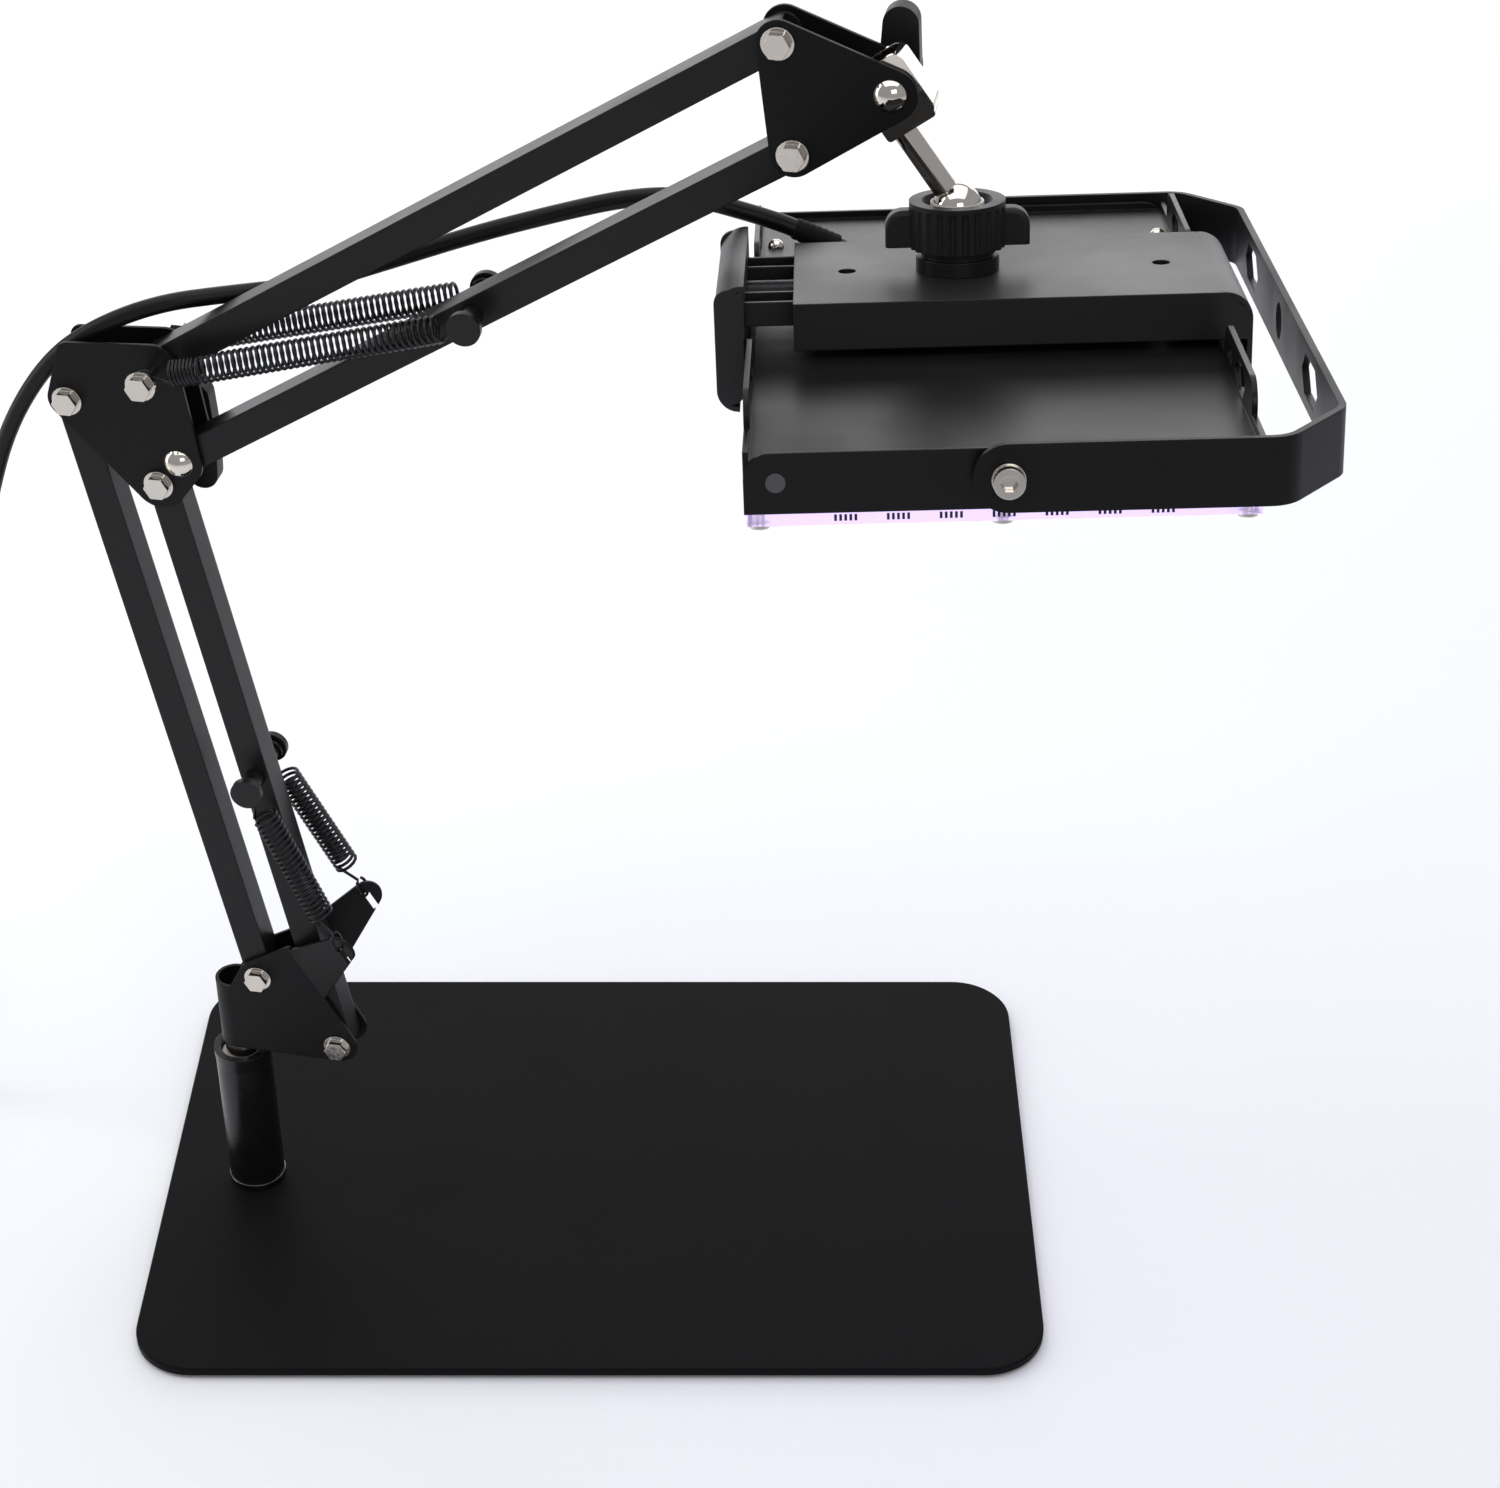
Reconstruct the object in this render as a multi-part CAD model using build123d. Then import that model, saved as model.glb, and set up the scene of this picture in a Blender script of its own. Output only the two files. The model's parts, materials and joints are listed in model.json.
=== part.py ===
from build123d import *
import math
import os

# Screen printing exposure unit: a flood lamp held by a spring-jaw clamp on a ball joint,
# carried over a steel base plate by a sprung two-stage parallelogram arm.
# Millimetres, +Z up. The origin is where the post's axis meets the table.
# The arm stands in a vertical plane turned by arm_turn about the post; arm sizes are
# given in that plane, x outwards and z up, and its thickness runs along y.

# ---------------------------------------------------------------- fits
running_gap = 0.06        # radial, pin in a hole
seat_gap = 0.1            # between faces of neighbouring pieces
ball_gap = 0.12           # between the ball and its liner
pad_gap = 0.3             # between the lamp and a rubber pad
through = 1.0             # how far a cutting solid reaches past what it cuts

# ---------------------------------------------------------------- base and post
base_length = 320.0
base_depth = 215.0
base_thickness = 3.0
base_corner_radius = 22.0
base_edge_break = 0.5
post_from_left = 32.4
post_from_front = 100.1
foot_diameter = 18.0
foot_height = 1.5
foot_inset = 20.0
post_screw_socket = 4.0
post_screw_socket_depth = 1.4
ring_diameter = 20.6
ring_height = 3.0
core_diameter = 15.8
core_height = 56.0
sleeve_diameter = 20.0
sleeve_recess = 4.0       # the sleeve stands this far above the core
collar_diameter = 20.8
collar_height = 6.0
bush_diameter = 10.0
bush_flange_diameter = 15.0
bush_flange_thickness = 1.4
bush_length = 34.0
spindle_end_gap = 3.0     # below the spindle, in the bush
spindle_top_drop = 8.0    # of the spindle's top below the bracket's bend
spindle_diameter = 7.0
spindle_shoulder_diameter = 12.0
post_screw_diameter = 6.0
post_screw_head_diameter = 11.0
post_screw_head_height = 2.4
post_screw_length = 16.0

# ---------------------------------------------------------------- arm
arm_turn = -10.0
tube_width = 10.0
tube_wall = 1.0
washer_thickness = 0.4
washer_diameter = 8.6
plate_thickness = 1.2
pivot_diameter = 4.0
lower_pivot_x = 11.7
lower_pivot_height = 105.0
lower_link_pitch = 38.4
lower_link_angle = -45.6
lower_arm_length = 228.5
lower_arm_angle = 100.25
upper_arm_length = 228.5
upper_arm_angle = 31.2
elbow_offset_x = 29.4     # from the first elbow pivot to the upper arm's pivot
elbow_offset_z = 13.1
upper_link_pitch = 33.2
upper_link_angle = -82.2
head_offset_x = 31.8      # from the head's top pivot to the saddle bolt
head_offset_z = -13.5
bolt_head_width = 7.0
bolt_head_height = 2.9
bolt_flange_diameter = 9.6
bolt_flange_thickness = 1.1
nut_height = 3.4
nut_hexagon_height = 2.4  # the rest is its round nylon collar
bolt_past_nut = 0.8
dome_diameter = 9.6
dome_height = 2.6

# ---------------------------------------------------------------- bracket on the post
cheek_base = 71.4
cheek_bend_top = 99.0
cheek_corner_x = 23.9
cheek_corner_height = 118.7
cheek_pivot_margin = 7.0
cheek_corner_radius = 1.0
hook_depth_share = 0.4    # of an ear's end radius, from the fold's line to the hook's middle
crease_past_pivot = 3.0   # the fold's lower end above the pivot
crease_half_width = 0.4
ear_fold_start = 0.8
ear_angle = 21.3
ear_reach = 27.0
ear_width = 23.0
ear_end_radius = 5.2
hook_slot_width = 2.4

# ---------------------------------------------------------------- springs
spring_diameter = 8.8
spring_wire = 1.1
stud_from_link_pivot = 114.6
stud_stem_diameter = 6.4
stud_cap_diameter = 10.6
stud_cap_thickness = 2.4
stud_reach = 15.6
lower_spring_body = 42.0
lower_spring_coils = 22
upper_spring_body = 88.0
upper_spring_coils = 45
spring_offset = 11.6      # of a spring's eye from the arm's middle plane
stud_eye = 3.9            # radius of the eye's middle line, round a stud
bolt_eye = 2.8
hook_eye = 3.3
spring_bolt_reach = 17.4
spring_bolt_offset = 13.0 # of a spring's eye on the elbow's bolt from the middle plane

# --------------------------------------------------------- elbow and head plates, edge round each pivot
elbow_edge_l = 6.6
elbow_edge_m = 8.6
elbow_edge_n = 7.8
elbow_edge_p = 8.2
elbow_top_corner = 3.4
elbow_top_corner_x = 2.0  # beyond the first pivot
head_edge_1 = 6.5
head_edge_2 = 6.8
head_edge_3 = 7.8

# ---------------------------------------------------------------- wing knobs
knob_hub_diameter = 12.0
knob_stand_off = 5.6
knob_thickness = 7.0
knob_span = 40.0
knob_lobe_width = 12.4
knob_lobe_taper = 1.0     # a lobe's end is narrower by this on each side
knob_edge_radius = 1.4
knob_cap = 2.0            # plastic over the end of its bolt
knob_bolt_gap = 0.4
elbow_knob_angle = -90.0
head_knob_angle = -90.0

# ---------------------------------------------------------------- saddle, stem and ball
saddle_width = 10.6
saddle_sheet = 1.4
saddle_up = 9.6
saddle_down = 11.2
saddle_out = 8.7
saddle_in = 6.6
saddle_corner_radius = 3.2
stem_lean = 36.0          # from the vertical, in the arm's plane
stem_diameter = 7.0
stem_offset = 4.5         # of the stem's axis from the saddle bolt
stem_length = 39.1        # from the saddle bolt to the ball, along the stem
stem_spigot_diameter = 3.6
stem_spigot_length = 4.5
stem_block_width = 7.6
stem_block_in = 4.6       # from the stem's axis
stem_block_up = 5.5
stem_block_past_saddle = 1.0
stem_block_round = 1.2
ball_radius = 7.0
liner_thickness = 0.7
liner_top_angle = 12.0
liner_bottom_angle = -34.0

# ---------------------------------------------------------------- lamp frame (origin in the ball's centre)
lamp_yaw = -1.2
lamp_tilt = -10.0
lamp_roll = -2.2
cup_radius = 10.6
cup_flange_radius = 12.0
cup_flange_height = 4.4
cup_top = -1.2
nut_outer_radius = 13.8
nut_top = 2.0
nut_bottom = -11.4
nut_lip_radius = 8.7
nut_mouth_radius = 10.2
nut_lip_thickness = 2.4
nut_rib_count = 24
nut_rib_radius = 1.1
nut_rib_depth = 0.385     # a groove's axis beyond the nut's face
nut_rib_drop = 1.6        # of a groove's end below the nut's top
nut_wing_drop = 2.4
nut_wing_round = 5.0
nut_wing_edge = 1.4
nut_wing_span = 41.4
nut_wing_thickness = 6.4
nut_wing_height = 10.6

clamp_top = -18.2
clamp_sheet = 1.5
clamp_left = -47.3
clamp_right = 80.8
clamp_width = 67.0
clamp_height = 13.5
clamp_round = 7.0
clamp_side_corner = 4.0
clamp_hole_diameter = 5.2
clamp_tab_width = 10.0    # the tab that holds the spring's far end
clamp_tab_rise = 2.0      # above the clamp's lower edge
clamp_hole_left = -31.9
clamp_hole_right = 58.5
jaw_left = -69.5
jaw_inner_plate = -61.0
fixed_jaw_drop = 24.0     # of its lip below the clamp's wall
jaw_drop = 17.0
jaw_rise = 5.5            # of the sliding jaw above the clamp's top
jaw_lip_inset = 5.6
jaw_lip_rise = 6.0        # of the lip's bend above the jaw's lowest point
jaw_top_corner = 4.0
jaw_top_drop = 1.0        # of the top corner's edge below the clamp's top
jaw_low_corner = 4.1
jaw_inner_corner = 0.8
jaw_plate_below_rail = 1.0
pad_side_inset = 4.0
pad_top_drop = 1.6
pad_base_rise = 1.0
rail_width = 11.5
rail_height = 7.0
rail_sheet = 1.2
rail_pitch = 38.0
rail_overlap = 76.0       # a rail's length inside the clamp
jaw_spring_diameter = 6.0
jaw_spring_length = 80.0
jaw_spring_wall = 0.9

lamp_left = -60.0
lamp_right = 73.0
lamp_depth = 249.0
lamp_middle_y = 1.5
lamp_wall_height = 16.3
lamp_sheet = 1.5
lamp_corner_radius = 7.0
panel_recess = 2.3
ear_wall_height = 9.0
ear_wall_near = 46.0
ear_wall_far = 104.0
ear_hex_length = 20.0
ear_hex_height = 8.4
ear_hex_shift = 4.0       # of the hexagon outwards from the ear's middle
ear_slot_shift = 17.0     # of the slot inwards
ear_slot_length = 9.0
ear_slot_height = 3.4
ear_cut_rise = 2.4        # of both above the wall's edge
ear_corner_radius = 7.0
cover_thickness = 3.5
board_thickness = 1.6
board_margin = 2.5
board_to_cover = 4.5
led_width = 8.0
led_height = 1.6
led_strips = 7
led_side_inset = 12.0     # of the outer strips' middles
led_end_inset = 14.0
cover_inset = 0.6
standoff_diameter = 6.0
standoff_side_inset = 20.0
standoff_end_inset = 26.0
cover_screw_diameter = 3.0
cover_screw_head = 5.4
cover_screw_head_height = 1.8
cover_screw_inset = 3.8
cover_screw_end_inset = 5.8
cover_screw_depth = 6.0   # above the cover
cover_screw_shift = 1.0   # of the middle screws from the yoke's pivot
corner_post_width = 4.4
board_notch_width = 6.0
panel_screw_radius = 2.6
panel_screw_side_inset = 6.0
panel_screw_end_inset = 36.0
rear_hole_diameter = 6.0
rear_knockout_diameter = 6.4
rear_knockout_width = 0.5
rear_knockout_depth = 0.4
rear_knockout_insets = (25.0, 12.0)
rear_hole_inset = 22.0
rear_hole_drop = 5.4
rear_pilot_diameter = 2.2
rear_pilot_shift = 12.6

yoke_sheet = 2.0
yoke_height = 18.3
yoke_gap = 2.0            # between the lamp's wall and the yoke's arm
yoke_reach = 95.0
yoke_corner = 17.0
yoke_corner_length = 23.0
yoke_bend_radius = 9.0
yoke_pivot_x = 7.4
yoke_pivot_drop = 7.0     # below the lamp wall's top
yoke_screw_diameter = 5.0
yoke_screw_inside = 3.2
yoke_screw_head = 8.2
yoke_screw_head_height = 3.2
yoke_washer_diameter = 8.8
yoke_washer_thickness = 1.0
yoke_hole_diameter = 11.0
yoke_slot_length = 28.0
yoke_slot_height = 11.4
yoke_slot_pitch = 60.0
yoke_cut_shift = 6.0      # of the web's cut-outs to the rear
yoke_socket = 4.0
yoke_socket_floor = 1.2

gland_x = -21.0           # where the gland stands on its box
gland_y = 43.0
gland_z = -30.2
gland_rise = 30.0         # of its axis, towards the arm
gland_hex = 7.4
gland_height = 4.0
gland_dome_height = 12.0
cord_box_length = 16.0
cord_box_width = 16.0
cord_box_top = -25.8
cord_box_reach = 12.0     # past the gland, towards the arm
cord_box_edge = 1.2
gland_lip = 0.5           # the dome's wall at its end
gland_bore_gap = 0.05
cord_hole_gap = 0.6
cord_hole_shift = 8.0

# ---------------------------------------------------------------- cord
cord_diameter = 5.5
coil_mean_diameter = 62.0
coil_turns = 4.25
coil_gap = 0.2            # between neighbouring turns
coil_step = 72.0          # each turn's place in the bundle, round its middle, from the turn before
coil_first = -60.0        # the first turn's place, from the outer side upwards
plug_length = 34.0
plug_width = 28.0
plug_thickness = 15.0
plug_round = 4.0
boot_start = 3.0          # past the coil's middle
boot_lip = 0.5
boot_length = 14.0
boot_diameter = 10.0
pin_diameter = 4.0
pin_length = 19.0
pin_round = 1.0
pin_pitch = 17.0

# ================================================================ derived places
plate_top = foot_height + base_thickness
core_base = plate_top + ring_height
core_top = core_base + core_height
sleeve_top = core_top + sleeve_recess
plate_inner = tube_width / 2 + washer_thickness + seat_gap
plate_outer = plate_inner + plate_thickness
sheet_middle = (plate_inner + plate_outer) / 2
knob_bolt_end = plate_outer + seat_gap + knob_stand_off + knob_thickness - knob_cap - knob_bolt_gap


def polar(length, angle):
    """A vector in the arm's plane."""
    return Vector(length * math.cos(math.radians(angle)), length * math.sin(math.radians(angle)))


pivot_a = Vector(lower_pivot_x, lower_pivot_height)
pivot_b = pivot_a + polar(lower_link_pitch, lower_link_angle)
pivot_l = pivot_a + polar(lower_arm_length, lower_arm_angle)
pivot_m = pivot_b + polar(lower_arm_length, lower_arm_angle)
pivot_p = pivot_l + Vector(elbow_offset_x, elbow_offset_z)
pivot_n = pivot_p + polar(upper_link_pitch, upper_link_angle)
pivot_1 = pivot_p + polar(upper_arm_length, upper_arm_angle)
pivot_2 = pivot_n + polar(upper_arm_length, upper_arm_angle)
pivot_3 = pivot_1 + Vector(head_offset_x, head_offset_z)
lower_stud = pivot_b + polar(stud_from_link_pivot, lower_arm_angle)
upper_stud = pivot_n + polar(stud_from_link_pivot, upper_arm_angle)
stem_down = polar(1.0, stem_lean - 90.0)
stem_side = polar(1.0, stem_lean)
ball_centre = pivot_3 + stem_down * stem_length - stem_side * stem_offset

arm_place = Rot(0, 0, arm_turn)
ball_place = arm_place * Pos(ball_centre.X, 0, ball_centre.Y)
ball_turn_free = Pos(ball_place.position)
lamp_place = ball_turn_free * Rot(0, 0, lamp_yaw) * Rot(lamp_tilt, 0, 0) * Rot(0, lamp_roll, 0)
stem_place = arm_place * Pos(pivot_3.X, 0, pivot_3.Y) * Rot(0, -stem_lean, 0)

nodes = {}


def put(name, *solids):
    """Keep the solids of one node."""
    nodes[name] = solids[0] if len(solids) == 1 else Compound(children=list(solids))


# ================================================================ shape helpers
def rod(x, z, radius, y_low, y_high):
    """A cylinder along the arm's y axis."""
    return Pos(x, (y_low + y_high) / 2, z) * Rot(90, 0, 0) * Cylinder(radius, y_high - y_low)


def upright(radius, z_low, z_high, x=0.0, y=0.0):
    """A cylinder along z."""
    return Pos(x, y, (z_low + z_high) / 2) * Cylinder(radius, z_high - z_low)


def slab(outline, y_low, y_high):
    """A sheet in the arm's plane between two y values."""
    return extrude(Plane.XZ.offset(-y_high) * outline, amount=y_high - y_low)


def block(x_low, x_high, y_low, y_high, z_low, z_high):
    """A box given by its limits."""
    middle = ((x_low + x_high) / 2, (y_low + y_high) / 2, (z_low + z_high) / 2)
    return Pos(*middle) * Box(x_high - x_low, y_high - y_low, z_high - z_low)


def disc_hull(discs):
    """The outline that a band stretched round some discs would take: (x, z, radius)."""
    edges = []
    for x, z, radius in discs:
        edges += (Pos(x, z) * Circle(radius)).edges()
    return make_face(make_hull(edges).edges())


def bolt_hole(pivot):
    """What a pivot's bolt takes out of the plates on both sides."""
    return rod(pivot.X, pivot.Y, pivot_diameter / 2, -plate_outer - through, plate_outer + through)


def hexagon(width, low, high, x, z):
    """A hexagonal prism along the arm's y axis, with broken corners."""
    prism = slab(Pos(x, z) * RegularPolygon(width / math.sqrt(3), 6), low, high)
    return prism & rod(x, z, width * 0.56, low, high)


def square_tube(start, end):
    """A square tube between two pivots, with rounded ends and open inside."""
    span = end - start
    angle = math.degrees(math.atan2(span.Y, span.X))
    middle = (start + end) / 2
    turn = Pos(middle.X, 0, middle.Y) * Rot(0, -angle, 0)
    half = tube_width / 2
    outline = SlotCenterToCenter(span.length, tube_width)
    tube = turn * slab(outline, -half, half)
    bore = tube_width - 2 * tube_wall
    tube -= turn * Box(span.length + 3 * tube_width, bore, bore)
    for pivot in (start, end):
        tube -= rod(pivot.X, pivot.Y, pivot_diameter / 2 + running_gap, -tube_width, tube_width)
    return tube


def pivot_washers(pivots):
    """Thin washers on both sides of each tube end."""
    rings = []
    low = tube_width / 2 + seat_gap / 2
    for pivot in pivots:
        for side in (-1, 1):
            near, far = sorted((side * low, side * (low + washer_thickness)))
            ring = rod(pivot.X, pivot.Y, washer_diameter / 2, near, far)
            rings.append(ring - rod(pivot.X, pivot.Y, pivot_diameter / 2, near - through, far + through))
    return rings


def flange_bolt(pivot, head_y, nut_y):
    """A flanged hexagon bolt along y, with its lock nut as a second solid."""
    x, z = pivot.X, pivot.Y
    bolt = rod(x, z, pivot_diameter / 2, head_y, nut_y + nut_height + bolt_past_nut)
    flange_y = head_y - bolt_flange_thickness
    bolt += rod(x, z, bolt_flange_diameter / 2, flange_y, head_y)
    bolt += hexagon(bolt_head_width, flange_y - bolt_head_height, flange_y, x, z)
    nut = hexagon(bolt_head_width, nut_y, nut_y + nut_hexagon_height, x, z)
    nut += rod(x, z, bolt_head_width * 0.46, nut_y, nut_y + nut_height)
    nut -= rod(x, z, pivot_diameter / 2, nut_y - through, nut_y + nut_height + through)
    return [bolt, nut]


def dome_bolt(pivot, head_y, end_y):
    """A round-headed bolt along y."""
    cap_radius = ((dome_diameter / 2) ** 2 + dome_height ** 2) / (2 * dome_height)
    ball = Pos(pivot.X, head_y - dome_height + cap_radius, pivot.Y) * Sphere(cap_radius)
    dome = ball & rod(pivot.X, pivot.Y, dome_diameter, head_y - dome_height, head_y)
    return dome + rod(pivot.X, pivot.Y, pivot_diameter / 2, head_y, end_y)


def wing_knob(pivot, angle):
    """A two-lobed plastic knob on the far side of a plate."""
    lobe_y = plate_outer + seat_gap + knob_stand_off
    place = Pos(pivot.X, 0, pivot.Y) * Rot(0, angle, 0)
    end_x = knob_span / 2 - knob_lobe_width / 2
    end_radius = knob_lobe_width / 2 - knob_lobe_taper
    lobe = disc_hull([(-end_x, 0, end_radius), (0, 0, knob_hub_diameter / 2), (end_x, 0, end_radius)])
    body = slab(lobe, lobe_y, lobe_y + knob_thickness)
    body = fillet(body.faces().sort_by(Axis.Y)[-1].edges(), knob_edge_radius)
    body += rod(0, 0, knob_hub_diameter / 2, lobe_y - knob_stand_off, lobe_y + knob_thickness)
    body -= rod(0, 0, pivot_diameter / 2 + running_gap, 0, lobe_y + knob_thickness - knob_cap)
    return place * body


def corrugated_spring(start, end, body_length, coils, start_eye, end_eye, flat_end=True):
    """A coil spring: a hollow tube with one ridge for each coil, drawn in to a wire and an eye at each end.

    The eyes lie in the arm's plane, but for an end eye that stands across it.
    """
    run = end - start
    x_way = run.normalized()
    plane = Plane(origin=start, x_dir=x_way, z_dir=x_way.cross(Vector(0, 1, 0)))
    pitch = body_length / coils
    wire = spring_wire / 2
    outer = spring_diameter / 2 - wire
    inner = outer - wire
    left = (run.length - body_length) / 2
    right = left + body_length
    ridges = [ThreePointArc((left + i * pitch, outer), (left + (i + 0.5) * pitch, outer + wire),
                            (left + (i + 1) * pitch, outer)) for i in range(coils)]
    taper = spring_diameter * 0.45
    ends = Polyline((right, outer), (right + taper, wire), (right + taper, 0), (right + taper - wire, 0),
                    (right, inner), (left, inner), (left - taper + wire, 0), (left - taper, 0),
                    (left - taper, wire), (left, outer))
    spring = revolve(make_face([*ends.edges(), *ridges]), Axis.X)
    for place, eye, way in ((0, start_eye, 1), (run.length, end_eye, -1)):
        near = place + way * eye
        far = left - taper + wire if way > 0 else right + taper - wire
        spring += Pos((near + far) / 2, 0, 0) * Rot(0, 90, 0) * Cylinder(wire, abs(far - near))
        turn = Rot(90, 0, 0) if way > 0 or flat_end else Rot(0, 0, 0)
        spring += Pos(place, 0, 0) * turn * Torus(eye, wire)
    return plane.location * spring


# ================================================================ base
def build_base():
    left = -post_from_left
    front = -post_from_front
    centre = (left + base_length / 2, front + base_depth / 2)
    outline = Pos(*centre) * RectangleRounded(base_length, base_depth, base_corner_radius)
    plate = Pos(0, 0, foot_height) * extrude(outline, amount=base_thickness)
    plate = chamfer(plate.faces().sort_by(Axis.Z)[-1].edges(), base_edge_break)
    screw_hole = upright(post_screw_diameter / 2 + seat_gap, 0, plate_top + through)
    sink_radius = post_screw_head_diameter / 2
    sink = Pos(0, 0, foot_height + post_screw_head_height / 2) * Cone(
        sink_radius + seat_gap, post_screw_diameter / 2 + seat_gap, post_screw_head_height)
    put("base_plate", plate - screw_hole - sink)

    feet = []
    for x in (left + foot_inset, left + base_length - foot_inset):
        for y in (front + foot_inset, front + base_depth - foot_inset):
            feet.append(upright(foot_diameter / 2, 0, foot_height, x, y))
    feet.append(upright(foot_diameter / 2, 0, foot_height))
    put("base_feet", *feet)

    screw = Pos(0, 0, foot_height + post_screw_head_height / 2) * Cone(
        sink_radius, post_screw_diameter / 2, post_screw_head_height)
    screw += upright(post_screw_diameter / 2, foot_height + post_screw_head_height,
                     foot_height + post_screw_length)
    socket = Pos(0, 0, foot_height) * extrude(
        RegularPolygon(post_screw_socket / 2, 6), amount=post_screw_socket_depth)
    put("post_screw", screw - socket)

    ring = upright(ring_diameter / 2, plate_top, core_base)
    put("post_ring", ring - upright(post_screw_diameter / 2 + seat_gap, 0, core_base + through))

    core = upright(core_diameter / 2, core_base, core_top)
    core -= upright(post_screw_diameter / 2, 0, foot_height + post_screw_length + through)
    core -= upright(bush_diameter / 2, core_top - bush_length, core_top + through)
    put("post_core", core)

    sleeve = upright(sleeve_diameter / 2, core_base, sleeve_top - collar_height)
    sleeve += Pos(0, 0, sleeve_top - collar_height / 2) * Cone(
        sleeve_diameter / 2, collar_diameter / 2, collar_height)
    put("post_sleeve", sleeve - upright(core_diameter / 2, 0, sleeve_top + through))

    bush = upright(bush_diameter / 2, core_top - bush_length, core_top)
    bush += upright(bush_flange_diameter / 2, core_top, core_top + bush_flange_thickness)
    bush -= upright(spindle_diameter / 2 + running_gap, 0, sleeve_top)
    put("spindle_bush", bush)


# ================================================================ bracket on the post
def cheek_outline():
    corner = cheek_corner_radius
    return disc_hull([
        (corner, cheek_base + corner, corner),
        (corner, cheek_bend_top - corner, corner),
        (pivot_a.X, pivot_a.Y, cheek_pivot_margin),
        (cheek_corner_x, cheek_corner_height, corner),
        (pivot_b.X, pivot_b.Y, cheek_pivot_margin),
    ])


def crease_points():
    """Where the ear folds away from the cheek."""
    top = Vector(cheek_corner_x, cheek_corner_height)
    toward = (pivot_b + Vector(cheek_pivot_margin, crease_past_pivot) - top).normalized()
    return top, toward


def hook_place(side):
    """The seat of a spring's eye in an ear's hook."""
    top, toward = crease_points()
    outward = Vector(-toward.Y, toward.X)
    lean = math.radians(ear_angle)
    flat = top + outward * (ear_reach * math.cos(lean)) + toward * ear_end_radius * hook_depth_share
    return Vector(flat.X, side * (sheet_middle + ear_reach * math.sin(lean)), flat.Y)


def spring_ear(side):
    """A hooked ear, folded outwards."""
    top, toward = crease_points()
    outward = Vector(-toward.Y, toward.X)
    lean = math.radians(ear_angle)
    x_way = Vector(toward.X, 0, toward.Y)
    y_way = Vector(outward.X * math.cos(lean), side * math.sin(lean), outward.Y * math.cos(lean))
    face = Plane(origin=(top.X, side * sheet_middle, top.Y), x_dir=x_way, z_dir=x_way.cross(y_way))
    end = ear_end_radius * hook_depth_share
    fold = crease_half_width
    outline = disc_hull([(ear_fold_start, -fold / 2, fold), (ear_width, -fold / 2, fold),
                         (end, ear_reach, ear_end_radius)])
    slot = Pos(end + ear_end_radius / 2, ear_reach) * Rectangle(ear_end_radius + 2 * through, hook_slot_width)
    slot += Pos(end, ear_reach) * Circle(hook_slot_width / 2)
    ear = extrude(face * (outline - slot), amount=plate_thickness / 2, both=True)
    return ear


def build_lower_bracket():
    cheek = cheek_outline()
    body = slab(cheek, plate_inner, plate_outer) + slab(cheek, -plate_outer, -plate_inner)
    bend = upright(plate_outer, cheek_base, cheek_bend_top)
    bend -= upright(plate_inner, cheek_base - through, cheek_bend_top + through)
    bend &= block(-plate_outer, cheek_corner_radius, -plate_outer, plate_outer, cheek_base, cheek_bend_top)
    body += bend
    for side in (-1, 1):
        body += spring_ear(side)
    for pivot in (pivot_a, pivot_b):
        body -= bolt_hole(pivot)
    put("lower_bracket", arm_place * body)

    shoulder_base = core_top + bush_flange_thickness + seat_gap
    spindle = upright(spindle_diameter / 2, core_top - bush_length + spindle_end_gap, shoulder_base)
    spindle += upright(spindle_shoulder_diameter / 2, shoulder_base, cheek_base)
    spindle += upright(plate_inner, cheek_base, cheek_bend_top - spindle_top_drop)
    put("bracket_spindle", arm_place * spindle)

    bolts = flange_bolt(pivot_a, -plate_outer, plate_outer) + flange_bolt(pivot_b, -plate_outer, plate_outer)
    put("bracket_bolts", *[arm_place * solid for solid in bolts])
    put("bracket_washers", *[arm_place * ring for ring in pivot_washers([pivot_a, pivot_b])])


# ================================================================ tubes, studs and springs
def spring_stud(point):
    """A plastic stud through a link tube, with a round cap on each end."""
    stud = rod(point.X, point.Y, stud_stem_diameter / 2, -stud_reach, stud_reach)
    cap = stud_reach - stud_cap_thickness
    stud += rod(point.X, point.Y, stud_cap_diameter / 2, cap, stud_reach)
    stud += rod(point.X, point.Y, stud_cap_diameter / 2, -stud_reach, -cap)
    return stud


def build_lower_arm():
    put("lower_tube_left", arm_place * square_tube(pivot_a, pivot_l))
    right = square_tube(pivot_b, pivot_m)
    right -= rod(lower_stud.X, lower_stud.Y, stud_stem_diameter / 2, -tube_width, tube_width)
    put("lower_tube_right", arm_place * right)
    put("lower_spring_stud", arm_place * spring_stud(lower_stud))
    for side, name in ((-1, "front"), (1, "rear")):
        start = Vector(lower_stud.X, side * spring_offset, lower_stud.Y)
        hook = hook_place(side)
        end = hook + (start - hook).normalized() * (hook_eye + hook_slot_width / 8)
        spring = corrugated_spring(start, end, lower_spring_body, lower_spring_coils,
                                   stud_eye, hook_eye, flat_end=False)
        put(f"lower_spring_{name}", arm_place * spring)


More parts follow.
